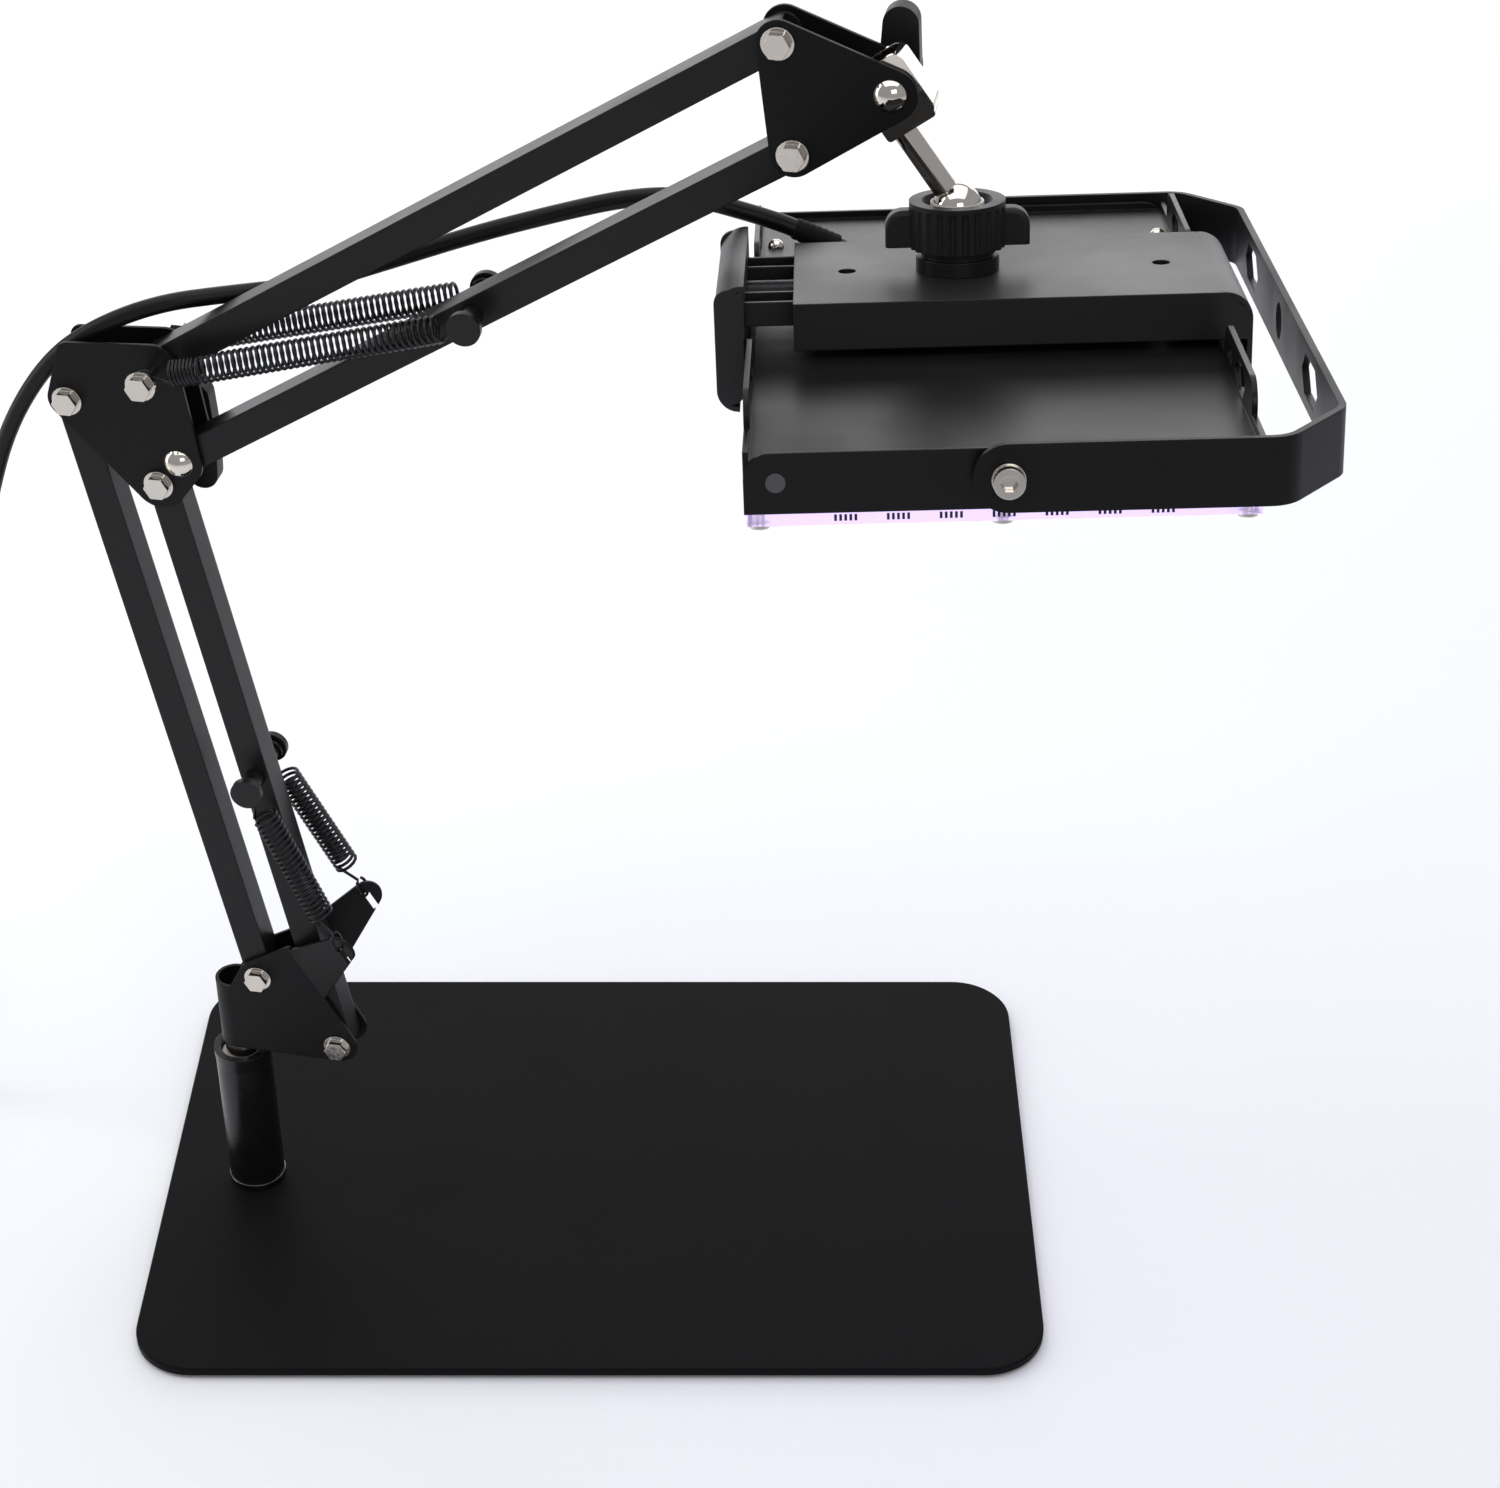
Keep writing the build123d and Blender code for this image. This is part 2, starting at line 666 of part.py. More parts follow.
def build_upper_arm():
    put("upper_tube_top", arm_place * square_tube(pivot_p, pivot_1))
    bottom = square_tube(pivot_n, pivot_2)
    bottom -= rod(upper_stud.X, upper_stud.Y, stud_stem_diameter / 2, -tube_width, tube_width)
    put("upper_tube_bottom", arm_place * bottom)
    put("upper_spring_stud", arm_place * spring_stud(upper_stud))
    for side, name in ((-1, "front"), (1, "rear")):
        start = Vector(pivot_p.X, side * spring_bolt_offset, pivot_p.Y)
        end = Vector(upper_stud.X, side * spring_offset, upper_stud.Y)
        spring = corrugated_spring(start, end, upper_spring_body, upper_spring_coils, bolt_eye, stud_eye)
        put(f"upper_spring_{name}", arm_place * spring)


# ================================================================ elbow and head
def build_elbow():
    outline = disc_hull([
        (pivot_l.X, pivot_l.Y, elbow_edge_l),
        (pivot_l.X + elbow_top_corner_x, pivot_p.Y + elbow_top_corner, elbow_top_corner),
        (pivot_p.X, pivot_p.Y, elbow_edge_p),
        (pivot_n.X, pivot_n.Y, elbow_edge_n),
        (pivot_m.X, pivot_m.Y, elbow_edge_m),
    ])
    sheet = slab(outline, plate_inner, plate_outer)
    for pivot in (pivot_l, pivot_m, pivot_n, pivot_p):
        sheet -= bolt_hole(pivot)
    put("elbow_plates", arm_place * sheet, arm_place * mirror(sheet, Plane.XZ))

    bolts = flange_bolt(pivot_l, -plate_outer, plate_outer) + flange_bolt(pivot_m, -plate_outer, plate_outer)
    put("elbow_bolts", *[arm_place * solid for solid in bolts])
    spring_bolt = flange_bolt(pivot_p, -spring_bolt_reach, spring_bolt_reach)
    put("spring_bolt", *[arm_place * solid for solid in spring_bolt])
    washers = pivot_washers([pivot_l, pivot_m, pivot_n, pivot_p])
    put("elbow_washers", *[arm_place * ring for ring in washers])
    put("elbow_knob_bolt", arm_place * dome_bolt(pivot_n, -plate_outer, knob_bolt_end))
    put("elbow_knob", arm_place * wing_knob(pivot_n, elbow_knob_angle))


def build_head():
    outline = disc_hull([
        (pivot_1.X, pivot_1.Y, head_edge_1),
        (pivot_2.X, pivot_2.Y, head_edge_2),
        (pivot_3.X, pivot_3.Y, head_edge_3),
    ])
    sheet = slab(outline, plate_inner, plate_outer)
    for pivot in (pivot_1, pivot_2, pivot_3):
        sheet -= bolt_hole(pivot)
    put("head_plates", arm_place * sheet, arm_place * mirror(sheet, Plane.XZ))
    bolts = flange_bolt(pivot_1, -plate_outer, plate_outer) + flange_bolt(pivot_2, -plate_outer, plate_outer)
    put("head_bolts", *[arm_place * solid for solid in bolts])
    put("head_washers", *[arm_place * ring for ring in pivot_washers([pivot_1, pivot_2])])
    put("saddle_bolt", arm_place * dome_bolt(pivot_3, -plate_outer, knob_bolt_end))
    put("head_knob", arm_place * wing_knob(pivot_3, head_knob_angle))


# ================================================================ saddle, stem and ball
def build_saddle():
    # in the saddle's frame z runs up along the stem and x away from the arm
    half = saddle_width / 2
    outline = Pos((saddle_out - saddle_in) / 2, (saddle_up - saddle_down) / 2) * RectangleRounded(
        saddle_out + saddle_in, saddle_up + saddle_down, saddle_corner_radius)
    saddle = slab(outline, -half, half)
    inner = saddle_out - saddle_sheet
    saddle -= block(-saddle_in - through, inner, -half + saddle_sheet, half - saddle_sheet,
                    -saddle_down - through, saddle_up + through)
    saddle -= rod(0, 0, pivot_diameter / 2 + running_gap, -saddle_width, saddle_width)
    put("head_saddle", stem_place * saddle)

    half_block = stem_block_width / 2
    stem_x = -stem_offset
    low = -saddle_down - stem_block_past_saddle
    head = block(stem_x - stem_block_in, inner - seat_gap, -half_block, half_block, low, stem_block_up)
    head = fillet(head.edges().filter_by(Axis.Y), stem_block_round)
    head -= rod(0, 0, pivot_diameter / 2 + running_gap, -saddle_width, saddle_width)
    stem = head + upright(stem_diameter / 2, -stem_length, low, stem_x)
    stem -= Pos(stem_x, 0, -stem_length) * Sphere(ball_radius + seat_gap)
    spigot_base = -stem_length + ball_radius - stem_spigot_length
    stem += upright(stem_spigot_diameter / 2, spigot_base, -stem_length + ball_radius + 2 * through, stem_x)
    put("ball_stem", stem_place * stem)

    ball = Sphere(ball_radius)
    ball -= upright(stem_spigot_diameter / 2 + running_gap, ball_radius - stem_spigot_length - seat_gap,
                    ball_radius + through)
    put("ball", stem_place * Pos(stem_x, 0, -stem_length) * ball)


def zone_ring(inner, outer, low_angle, high_angle):
    """A ring cut from a spherical shell between two angles above the equator."""
    low, high = math.radians(low_angle), math.radians(high_angle)
    middle = (low + high) / 2

    def at(radius, angle):
        return (radius * math.cos(angle), radius * math.sin(angle))

    outline = [
        ThreePointArc(at(outer, low), at(outer, middle), at(outer, high)),
        Line(at(outer, high), at(inner, high)),
        ThreePointArc(at(inner, high), at(inner, middle), at(inner, low)),
        Line(at(inner, low), at(outer, low)),
    ]
    return revolve(Plane.XZ * make_face(outline), Axis.Z)


def build_ball_joint():
    liner_inner = ball_radius + ball_gap
    liner_outer = liner_inner + liner_thickness
    put("ball_liner", lamp_place * zone_ring(liner_inner, liner_outer, liner_bottom_angle, liner_top_angle))

    seat_radius = liner_outer + ball_gap
    cup = upright(cup_radius, clamp_top, cup_top)
    cup += upright(cup_flange_radius, clamp_top, clamp_top + cup_flange_height)
    cup -= Sphere(seat_radius)
    put("ball_cup", lamp_place * cup)

    nut = upright(nut_outer_radius, nut_bottom, nut_top)
    for i in range(nut_rib_count):
        angle = 2 * math.pi * (i + 0.5) / nut_rib_count
        reach = nut_outer_radius + nut_rib_depth
        groove = upright(nut_rib_radius, nut_bottom - through, nut_top - nut_rib_drop,
                         reach * math.cos(angle), reach * math.sin(angle))
        nut -= groove
    wing_top = nut_top - nut_wing_drop
    wing = block(-nut_wing_span / 2, nut_wing_span / 2, -nut_wing_thickness / 2, nut_wing_thickness / 2,
                 wing_top - nut_wing_height, wing_top)
    outer_edges = [e for e in wing.edges().filter_by(Axis.Y) if e.center().Z > wing_top - nut_wing_round]
    wing = fillet(outer_edges, nut_wing_round)
    wing = fillet(wing.edges().filter_by(Axis.Z), nut_wing_edge)
    nut += wing
    nut -= upright(cup_radius + running_gap, nut_bottom - through, nut_top - nut_lip_thickness)
    nut -= Pos(0, 0, nut_top - nut_lip_thickness / 2) * Cone(
        nut_lip_radius, nut_mouth_radius, nut_lip_thickness)
    put("clamp_nut", lamp_place * nut)


# ================================================================ clamp
def jaw_curve(side, outer, wall_x, top_face, drop):
    """The folded line of a jaw, from its top face round to its lip. side is -1 at the left."""
    top = top_face - clamp_sheet / 2
    x = outer - side * clamp_sheet / 2
    low = clamp_top - clamp_height - drop + jaw_lip_rise
    path = [Line((wall_x, top), (x - side * clamp_round, top)),
            RadiusArc((x - side * clamp_round, top), (x, top - clamp_round), side * clamp_round),
            Line((x, top - clamp_round), (x, low)),
            RadiusArc((x, low), (x - side * jaw_lip_inset, low - jaw_lip_inset), side * jaw_lip_inset)]
    return path


def build_clamp():
    half = clamp_width / 2
    under = clamp_top - clamp_height
    sheet = clamp_sheet
    shell = slab(trace(jaw_curve(1, clamp_right, clamp_left, clamp_top, fixed_jaw_drop), sheet), -half, half)
    side_outline = Polyline(
        (clamp_left, clamp_top), (clamp_right - clamp_round, clamp_top),
        (clamp_right, clamp_top - clamp_round), (clamp_right, under), (clamp_left, under), close=True)
    side_face = make_face(side_outline.edges())
    corners = [v for v in side_face.vertices() if v.X > clamp_left + through and v.Y > under + through]
    rounded = fillet(corners, clamp_side_corner)
    sides = [slab(rounded, low, low + sheet) for low in (-half, half - sheet)]
    for side_plate in sides:
        shell -= side_plate
    for x in (clamp_hole_left, clamp_hole_right):
        shell -= upright(clamp_hole_diameter / 2, clamp_top - sheet - through, clamp_top + through, x)
    tab_x = jaw_inner_plate + jaw_spring_length
    tab = block(tab_x, tab_x + sheet, -clamp_tab_width / 2, clamp_tab_width / 2,
                under + clamp_tab_rise, clamp_top - sheet)
    put("clamp_shell", *[lamp_place * plate for plate in (shell, tab, *sides)])

    jaw_top = clamp_top + jaw_rise
    jaw = slab(trace(jaw_curve(-1, jaw_left, jaw_inner_plate, jaw_top, jaw_drop), sheet), -half, half)
    jaw_inner = jaw_inner_plate - sheet
    rail_top = clamp_top - sheet - seat_gap
    rail_base = rail_top - rail_height
    jaw += block(jaw_inner, jaw_inner_plate, -half, half, rail_base - jaw_plate_below_rail, jaw_top)
    lip_z = under - jaw_drop + jaw_lip_rise
    lobe = disc_hull([
        (jaw_left + jaw_top_corner, jaw_top - jaw_top_corner - jaw_top_drop, jaw_top_corner),
        (jaw_left + jaw_low_corner, lip_z, jaw_low_corner),
        (jaw_inner_plate - sheet - jaw_inner_corner / 4, rail_base + jaw_plate_below_rail, jaw_inner_corner)])
    for low in (-half, half - sheet):
        jaw += slab(lobe, low, low + sheet)
    rails = []
    for y in (-rail_pitch / 2, rail_pitch / 2):
        right = clamp_left + rail_overlap
        rail = block(jaw_inner_plate, right, y - rail_width / 2, y + rail_width / 2, rail_base, rail_top)
        rail -= block(jaw_inner_plate, right + through, y - rail_width / 2 + rail_sheet,
                      y + rail_width / 2 - rail_sheet, rail_base + rail_sheet, rail_top + through)
        rails.append(lamp_place * rail)
    put("clamp_rails", *rails)
    put("clamp_jaw", lamp_place * jaw)

    pad_top = under - pad_top_drop
    pad_base = under - lamp_wall_height + pad_base_rise
    left_pad_base = max(pad_base, lip_z + pad_base_rise)
    pad_half = half - pad_side_inset
    left_pad = block(jaw_left + sheet, lamp_left - pad_gap, -pad_half, pad_half, left_pad_base, pad_top)
    put("jaw_pad_left", lamp_place * left_pad)
    right_pad = block(lamp_right + pad_gap, clamp_right - sheet, -pad_half, pad_half, pad_base, pad_top)
    put("jaw_pad_right", lamp_place * right_pad)

    spring_z = rail_top - rail_height / 2
    along = Pos(jaw_inner_plate, 0, spring_z) * Rot(0, 90, 0)
    start = (Align.CENTER, Align.CENTER, Align.MIN)
    spring = Cylinder(jaw_spring_diameter / 2, jaw_spring_length, align=start)
    spring -= Cylinder(jaw_spring_diameter / 2 - jaw_spring_wall, jaw_spring_length, align=start)
    put("jaw_spring", lamp_place * along * spring)


# ================================================================ lamp
lamp_top = clamp_top - clamp_height
lamp_bottom = lamp_top - lamp_wall_height
lamp_front = lamp_middle_y - lamp_depth / 2
lamp_rear = lamp_middle_y + lamp_depth / 2
lamp_middle_x = (lamp_left + lamp_right) / 2
panel_top = lamp_top - panel_recess
yoke_pivot_z = lamp_top - yoke_pivot_drop


def long_hexagon(length, height):
    """A hexagon drawn out along its length."""
    half, rise = length / 2, height / 2
    return make_face(Polyline((-half, 0), (-half + rise, rise), (half - rise, rise), (half, 0),
                              (half - rise, -rise), (-half + rise, -rise), close=True).edges())


def side_wall(x_low, x_high):
    """An end plate of the lamp, between its front and rear walls, with two raised ears and their cut-outs."""
    outline = Pos(lamp_middle_y, (lamp_top + lamp_bottom) / 2) * Rectangle(
        lamp_depth - 2 * lamp_sheet, lamp_wall_height)
    for side in (-1, 1):
        middle = lamp_middle_y + side * (ear_wall_near + ear_wall_far) / 2
        span = ear_wall_far - ear_wall_near
        cut_z = lamp_top + ear_cut_rise
        outline += Pos(middle, lamp_top) * RectangleRounded(span, 2 * ear_wall_height, ear_corner_radius)
        outline -= Pos(middle + side * ear_hex_shift, cut_z) * long_hexagon(ear_hex_length, ear_hex_height)
        outline -= Pos(middle - side * ear_slot_shift, cut_z) * SlotOverall(ear_slot_length, ear_slot_height)
    return extrude(Plane.YZ.offset(x_low) * outline, amount=x_high - x_low)


def build_lamp():
    sheet = lamp_sheet
    panel = block(lamp_left + sheet, lamp_right - sheet, lamp_front + sheet, lamp_rear - sheet,
                  panel_top - sheet, panel_top)
    end_outline = Pos(lamp_middle_x, (lamp_top + lamp_bottom) / 2) * Rectangle(
        lamp_right - lamp_left, lamp_wall_height)
    upper_corners = [v for v in end_outline.vertices() if v.Y > lamp_bottom + through]
    end_outline = fillet(upper_corners, lamp_corner_radius)
    front_wall = slab(end_outline, lamp_front, lamp_front + sheet)
    rear_wall = slab(end_outline, lamp_rear - sheet, lamp_rear)
    rear_hole_x = lamp_left + rear_hole_inset
    rear_hole_z = lamp_top - rear_hole_drop
    rear_inner = lamp_rear - sheet
    rear_cut = (rear_inner - through, lamp_rear + through)
    rear_wall -= rod(rear_hole_x, rear_hole_z, rear_hole_diameter / 2, *rear_cut)
    rear_wall -= rod(rear_hole_x - rear_pilot_shift, rear_hole_z, rear_pilot_diameter / 2, *rear_cut)
    for inset in rear_knockout_insets:
        x = lamp_right - inset
        knockout_radius = rear_knockout_diameter / 2
        ring = rod(x, rear_hole_z, knockout_radius, rear_inner - through, rear_inner + rear_knockout_depth)
        ring -= rod(x, rear_hole_z, knockout_radius - rear_knockout_width, *rear_cut)
        rear_wall -= ring
    pivot_hole = yoke_screw_diameter / 2
    front_cut = (lamp_front - through, lamp_front + sheet + through)
    front_wall -= rod(yoke_pivot_x, yoke_pivot_z, pivot_hole, *front_cut)
    rear_wall -= rod(yoke_pivot_x, yoke_pivot_z, pivot_hole, *rear_cut)
    panel -= upright(cord_diameter / 2 + cord_hole_gap, panel_top - sheet - through, panel_top + through,
                     gland_x + cord_hole_shift, gland_y)
    left_end = side_wall(lamp_left, lamp_left + sheet)
    right_end = side_wall(lamp_right - sheet, lamp_right)
    plates = (panel, front_wall, rear_wall, left_end, right_end)
    put("lamp_housing", *[lamp_place * plate for plate in plates])

    board_base = lamp_bottom + board_to_cover
    board_top = board_base + board_thickness
    inset = sheet + board_margin
    board = block(lamp_left + inset, lamp_right - inset, lamp_front + inset, lamp_rear - inset,
                  board_base, board_top)
    strips = []
    pitch = (lamp_right - lamp_left - 2 * led_side_inset) / (led_strips - 1)
    for i in range(led_strips):
        x = lamp_left + led_side_inset + i * pitch
        strip = block(x - led_width / 2, x + led_width / 2, lamp_front + led_end_inset,
                      lamp_rear - led_end_inset, board_base - led_height, board_base)
        strips.append(lamp_place * strip)
    put("led_strips", *strips)

    posts = []
    for x in (lamp_left + standoff_side_inset, lamp_right - standoff_side_inset):
        for y in (lamp_front + standoff_end_inset, lamp_middle_y, lamp_rear - standoff_end_inset):
            posts.append(upright(standoff_diameter / 2, board_top, panel_top - sheet, x, y))

    cover = block(lamp_left + cover_inset, lamp_right - cover_inset, lamp_front + cover_inset,
                  lamp_rear - cover_inset, lamp_bottom - cover_thickness, lamp_bottom)
    screws = []
    low = lamp_bottom - cover_thickness
    screw_top = lamp_bottom + cover_screw_depth
    half_post = corner_post_width / 2
    half_notch = board_notch_width / 2
    middle_x = yoke_pivot_x - cover_screw_shift
    for x in (lamp_left + cover_screw_inset, middle_x, lamp_right - cover_screw_inset):
        for y in (lamp_front + cover_screw_end_inset, lamp_rear - cover_screw_end_inset):
            cover -= upright(cover_screw_diameter / 2, low - through, lamp_bottom + through, x, y)
            screw = upright(cover_screw_diameter / 2, low, screw_top, x, y)
            screw += upright(cover_screw_head / 2, low - cover_screw_head_height, low, x, y)
            screws.append(lamp_place * screw)
            post = block(x - half_post, x + half_post, y - half_post, y + half_post,
                         lamp_bottom, panel_top - sheet)
            post -= upright(cover_screw_diameter / 2, lamp_bottom - through, screw_top, x, y)
            posts.append(post)
            board -= block(x - half_notch, x + half_notch, y - half_notch, y + half_notch,
                           board_base - through, board_top + through)
    put("lamp_cover", lamp_place * cover)
    put("led_board", lamp_place * board)
    put("lamp_posts", *[lamp_place * post for post in posts])

    for x in (lamp_left + panel_screw_side_inset, lamp_right - panel_screw_side_inset):
        radius = panel_screw_radius
        dome = Sphere(radius) & block(-radius, radius, -radius, radius, 0, radius)
        head = Pos(x, lamp_rear - panel_screw_end_inset, panel_top) * dome
        screws.append(lamp_place * head)
    put("lamp_screws", *screws)

    along = Pos(gland_x, gland_y, gland_z) * Rot(0, gland_rise - 90.0, 0)
    start = (Align.CENTER, Align.CENTER, Align.MIN)
    gland = extrude(RegularPolygon(gland_hex / math.sqrt(3), 6), amount=gland_height)
    gland += Pos(0, 0, gland_height) * Cone(
        gland_hex / 2, cord_diameter / 2 + gland_lip, gland_dome_height, align=start)
    gland -= Cylinder(cord_diameter / 2 + gland_bore_gap, gland_height + gland_dome_height + through,
                      align=start)
    put("cord_gland", lamp_place * along * gland)

    box = block(gland_x - cord_box_reach, gland_x + cord_box_length, gland_y - cord_box_width / 2,
                gland_y + cord_box_width / 2, panel_top, cord_box_top)
    box -= along * Cylinder(cord_box_width, cord_box_length + cord_box_reach, align=start)
    box = fillet(box.edges().group_by(Axis.Z)[-1], cord_box_edge)
    put("cord_box", lamp_place * box)


# ================================================================ yoke
def build_yoke():
    arm_y_front = lamp_front - yoke_gap - yoke_sheet / 2
    arm_y_rear = lamp_rear + yoke_gap + yoke_sheet / 2
    start = yoke_pivot_x - yoke_height / 2
    bend_x = yoke_reach - yoke_corner
    web_front = arm_y_front + yoke_corner_length
    web_rear = arm_y_rear - yoke_corner_length
    path = FilletPolyline(
        (start, arm_y_front), (bend_x, arm_y_front), (yoke_reach, web_front),
        (yoke_reach, web_rear), (bend_x, arm_y_rear), (start, arm_y_rear), radius=yoke_bend_radius)
    low = yoke_pivot_z - yoke_height / 2
    strip = Pos(0, 0, low) * extrude(trace(path, yoke_sheet), amount=yoke_height)
    keep = disc_hull([(yoke_pivot_x, yoke_pivot_z, yoke_height / 2),
                      (yoke_reach + yoke_height, yoke_pivot_z, yoke_height / 2)])
    across = (arm_y_front - yoke_sheet, arm_y_rear + yoke_sheet)
    strip &= slab(keep, *across)
    strip -= rod(yoke_pivot_x, yoke_pivot_z, yoke_screw_diameter / 2 + running_gap, *across)
    middle = (web_front + web_rear) / 2 + yoke_cut_shift
    face = Plane.YZ.offset(yoke_reach - yoke_sheet)
    cuts = Pos(middle, yoke_pivot_z) * Circle(yoke_hole_diameter / 2)
    for side in (-1, 1):
        slot = long_hexagon(yoke_slot_length, yoke_slot_height)
        cuts += Pos(middle + side * yoke_slot_pitch, yoke_pivot_z) * slot
    strip -= extrude(face * cuts, amount=2 * yoke_sheet)
    put("yoke", lamp_place * strip)

    screws = []
    washers = []
    outer = yoke_gap + yoke_sheet
    head_from = outer + seat_gap + yoke_washer_thickness
    head_to = head_from + yoke_screw_head_height
    screw_radius = yoke_screw_diameter / 2
    pivot = (yoke_pivot_x, yoke_pivot_z)
    rings = [(seat_gap / 2, yoke_gap - seat_gap / 2), (outer + seat_gap / 2, head_from - seat_gap / 4)]
    for side, wall in ((-1, lamp_front), (1, lamp_rear)):
        def span(near, far):
            return sorted((wall + side * near, wall + side * far))

        screw = rod(*pivot, screw_radius, *span(-yoke_screw_inside, head_from))
        screw += rod(*pivot, yoke_screw_head / 2, *span(head_from, head_to))
        screw -= hexagon(yoke_socket, *span(head_from + yoke_socket_floor, head_to + through), *pivot)
        screws.append(lamp_place * screw)
        for near, far in rings:
            ring = rod(*pivot, yoke_washer_diameter / 2, *span(near, far))
            ring -= rod(*pivot, screw_radius, *span(near - through, far + through))
            washers.append(lamp_place * ring)
    put("yoke_screws", *screws)
    put("yoke_washers", *washers)


# ================================================================ cord
def in_arm(x, y, z):
    """A point of the arm's frame in the object's frame."""
    return (arm_place * Pos(x, y, z)).position


# the cord's route, from the lamp's gland over the elbow and down to the floor; the model parts it midway
# between the two lists
gland_axis = Vector(-math.cos(math.radians(gland_rise)), 0, math.sin(math.radians(gland_rise)))
gland_end = Vector(gland_x, gland_y, gland_z) + gland_axis * (gland_height + gland_dome_height)


def in_lamp(point):
    """A point of the lamp's frame in the object's frame."""
    return (lamp_place * Pos(*point)).position


cord_over_arm = [
    in_lamp(gland_end),
    in_lamp((-46.0, 42.6, -16.2)),
    in_lamp((-59.0, 41.4, -11.0)),
    in_arm(163.0, 25.0, 399.6),
    in_arm(145.0, 24.0, 397.9),
    in_arm(122.0, 24.0, 390.8),
    in_arm(97.0, 24.0, 382.2),
    in_arm(70.0, 23.5, 371.6),
    in_arm(44.0, 19.0, 363.0),
    in_arm(20.0, 11.0, 361.8),
    in_arm(1.0, 2.5, 361.2),
    in_arm(-20.0, 0.0, 352.4),
    in_arm(-37.0, 0.0, 339.2),
]
cord_to_floor = [
    in_arm(-53.5, 0.5, 315.0),
    in_arm(-65.0, 2.0, 286.0),
    Vector(-74.0, 20.0, 252.0),
    Vector(-80.0, 26.0, 209.0),
    Vector(-87.0, 31.0, 162.0),
    Vector(-97.0, 36.0, 112.0),
    Vector(-107.0, 41.0, 66.0),
    Vector(-120.0, 46.0, 30.0),
    Vector(-140.0, 52.0, 9.5),
    Vector(-164.0, 58.0, cord_diameter / 2 + 0.05),
    Vector(-190.0, 60.0, 3.45),
]


def round_route(points):
    """A path of straight runs joined by arcs as large as the runs allow."""
    radii = []
    for before, corner, after in zip(points, points[1:], points[2:]):
        turn = (corner - before).get_angle(after - corner)
        shorter = min((corner - before).length, (after - corner).length)
        radii.append(0.45 * shorter / math.tan(math.radians(turn) / 2))
    return FilletPolyline(*points, radius=radii), radii


def cord_tube(points, name):
    """The tube round a route; its section, length and volume are printed for comparison."""
    path, radii = round_route(points)
    section = Plane(origin=path @ 0, z_dir=path % 0) * Circle(cord_diameter / 2)
    tube = sweep(section, path=path)
    area = math.pi * cord_diameter ** 2 / 4
    print(name, "length", round(path.length, 1), "volume ratio", round(tube.volume / area / path.length, 5),
          "radii", [round(r, 1) for r in radii])
    put(name, tube)
    return path.length


def build_cord():
    middle = (cord_over_arm[-1] + cord_to_floor[0]) / 2
    length = cord_tube([*cord_over_arm, middle], "cord_upper")
    length += cord_tube([middle, *cord_to_floor], "cord_lower")
    end = cord_to_floor[-1]
    way = end - cord_to_floor[-2]
    way = Vector(way.X, way.Y, 0).normalized()
    side = Vector(-way.Y, way.X, 0)
    radius = coil_mean_diameter / 2
    bundle = (cord_diameter + coil_gap) / (2 * math.sin(math.radians(coil_step / 2)))
    section = bundle + cord_diameter / 2
    entry = radius + bundle * math.cos(math.radians(coil_first))
    centre = Vector(end.X, end.Y, 0) - side * entry
    put("cord_coil", Pos(centre.X, centre.Y, section) * Torus(radius, section))
    print("free cord", round(length + coil_turns * math.pi * coil_mean_diameter, 1), "coil centre", centre,
          "first turn's height", section + bundle * math.sin(math.radians(coil_first)))

    # the cord leaves the coil along its side, straight into the plug
    last = math.radians(coil_first - coil_turns * coil_step)
    plug_x = centre.X - radius - bundle * math.cos(last)
    plug_z = plug_thickness / 2
    boot_y = centre.Y + boot_start
    plug_y = boot_y + boot_length
    boot = Pos(plug_x, (boot_y + plug_y) / 2, plug_z) * Rot(-90, 0, 0) * Cone(
        cord_diameter / 2 + boot_lip, boot_diameter / 2, boot_length)
    body = Pos(plug_x, plug_y + plug_length / 2, plug_z) * Box(plug_width, plug_length, plug_thickness)
    body = fillet(body.edges(), plug_round)
    put("plug_body", body + boot)
    pins = []
    for side in (-1, 1):
        pin = Pos(plug_x + side * pin_pitch / 2, plug_y + plug_length + pin_length / 2, plug_z) * Rot(
            90, 0, 0) * Cylinder(pin_diameter / 2, pin_length)
        pins.append(fillet(pin.edges().group_by(Axis.Y)[-1], pin_round))
    put("plug_pins", *pins)


build_base()
build_lower_bracket()
build_lower_arm()
build_upper_arm()
build_elbow()
build_head()
build_saddle()
build_ball_joint()
build_clamp()
build_lamp()
build_yoke()
build_cord()

os.makedirs("parts", exist_ok=True)
for name, shape in nodes.items():
    shape.label = name
    export_step(shape, f"parts/{name}.step")
print(len(nodes), "nodes")
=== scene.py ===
import bpy
import json
import math
from mathutils import Matrix, Vector


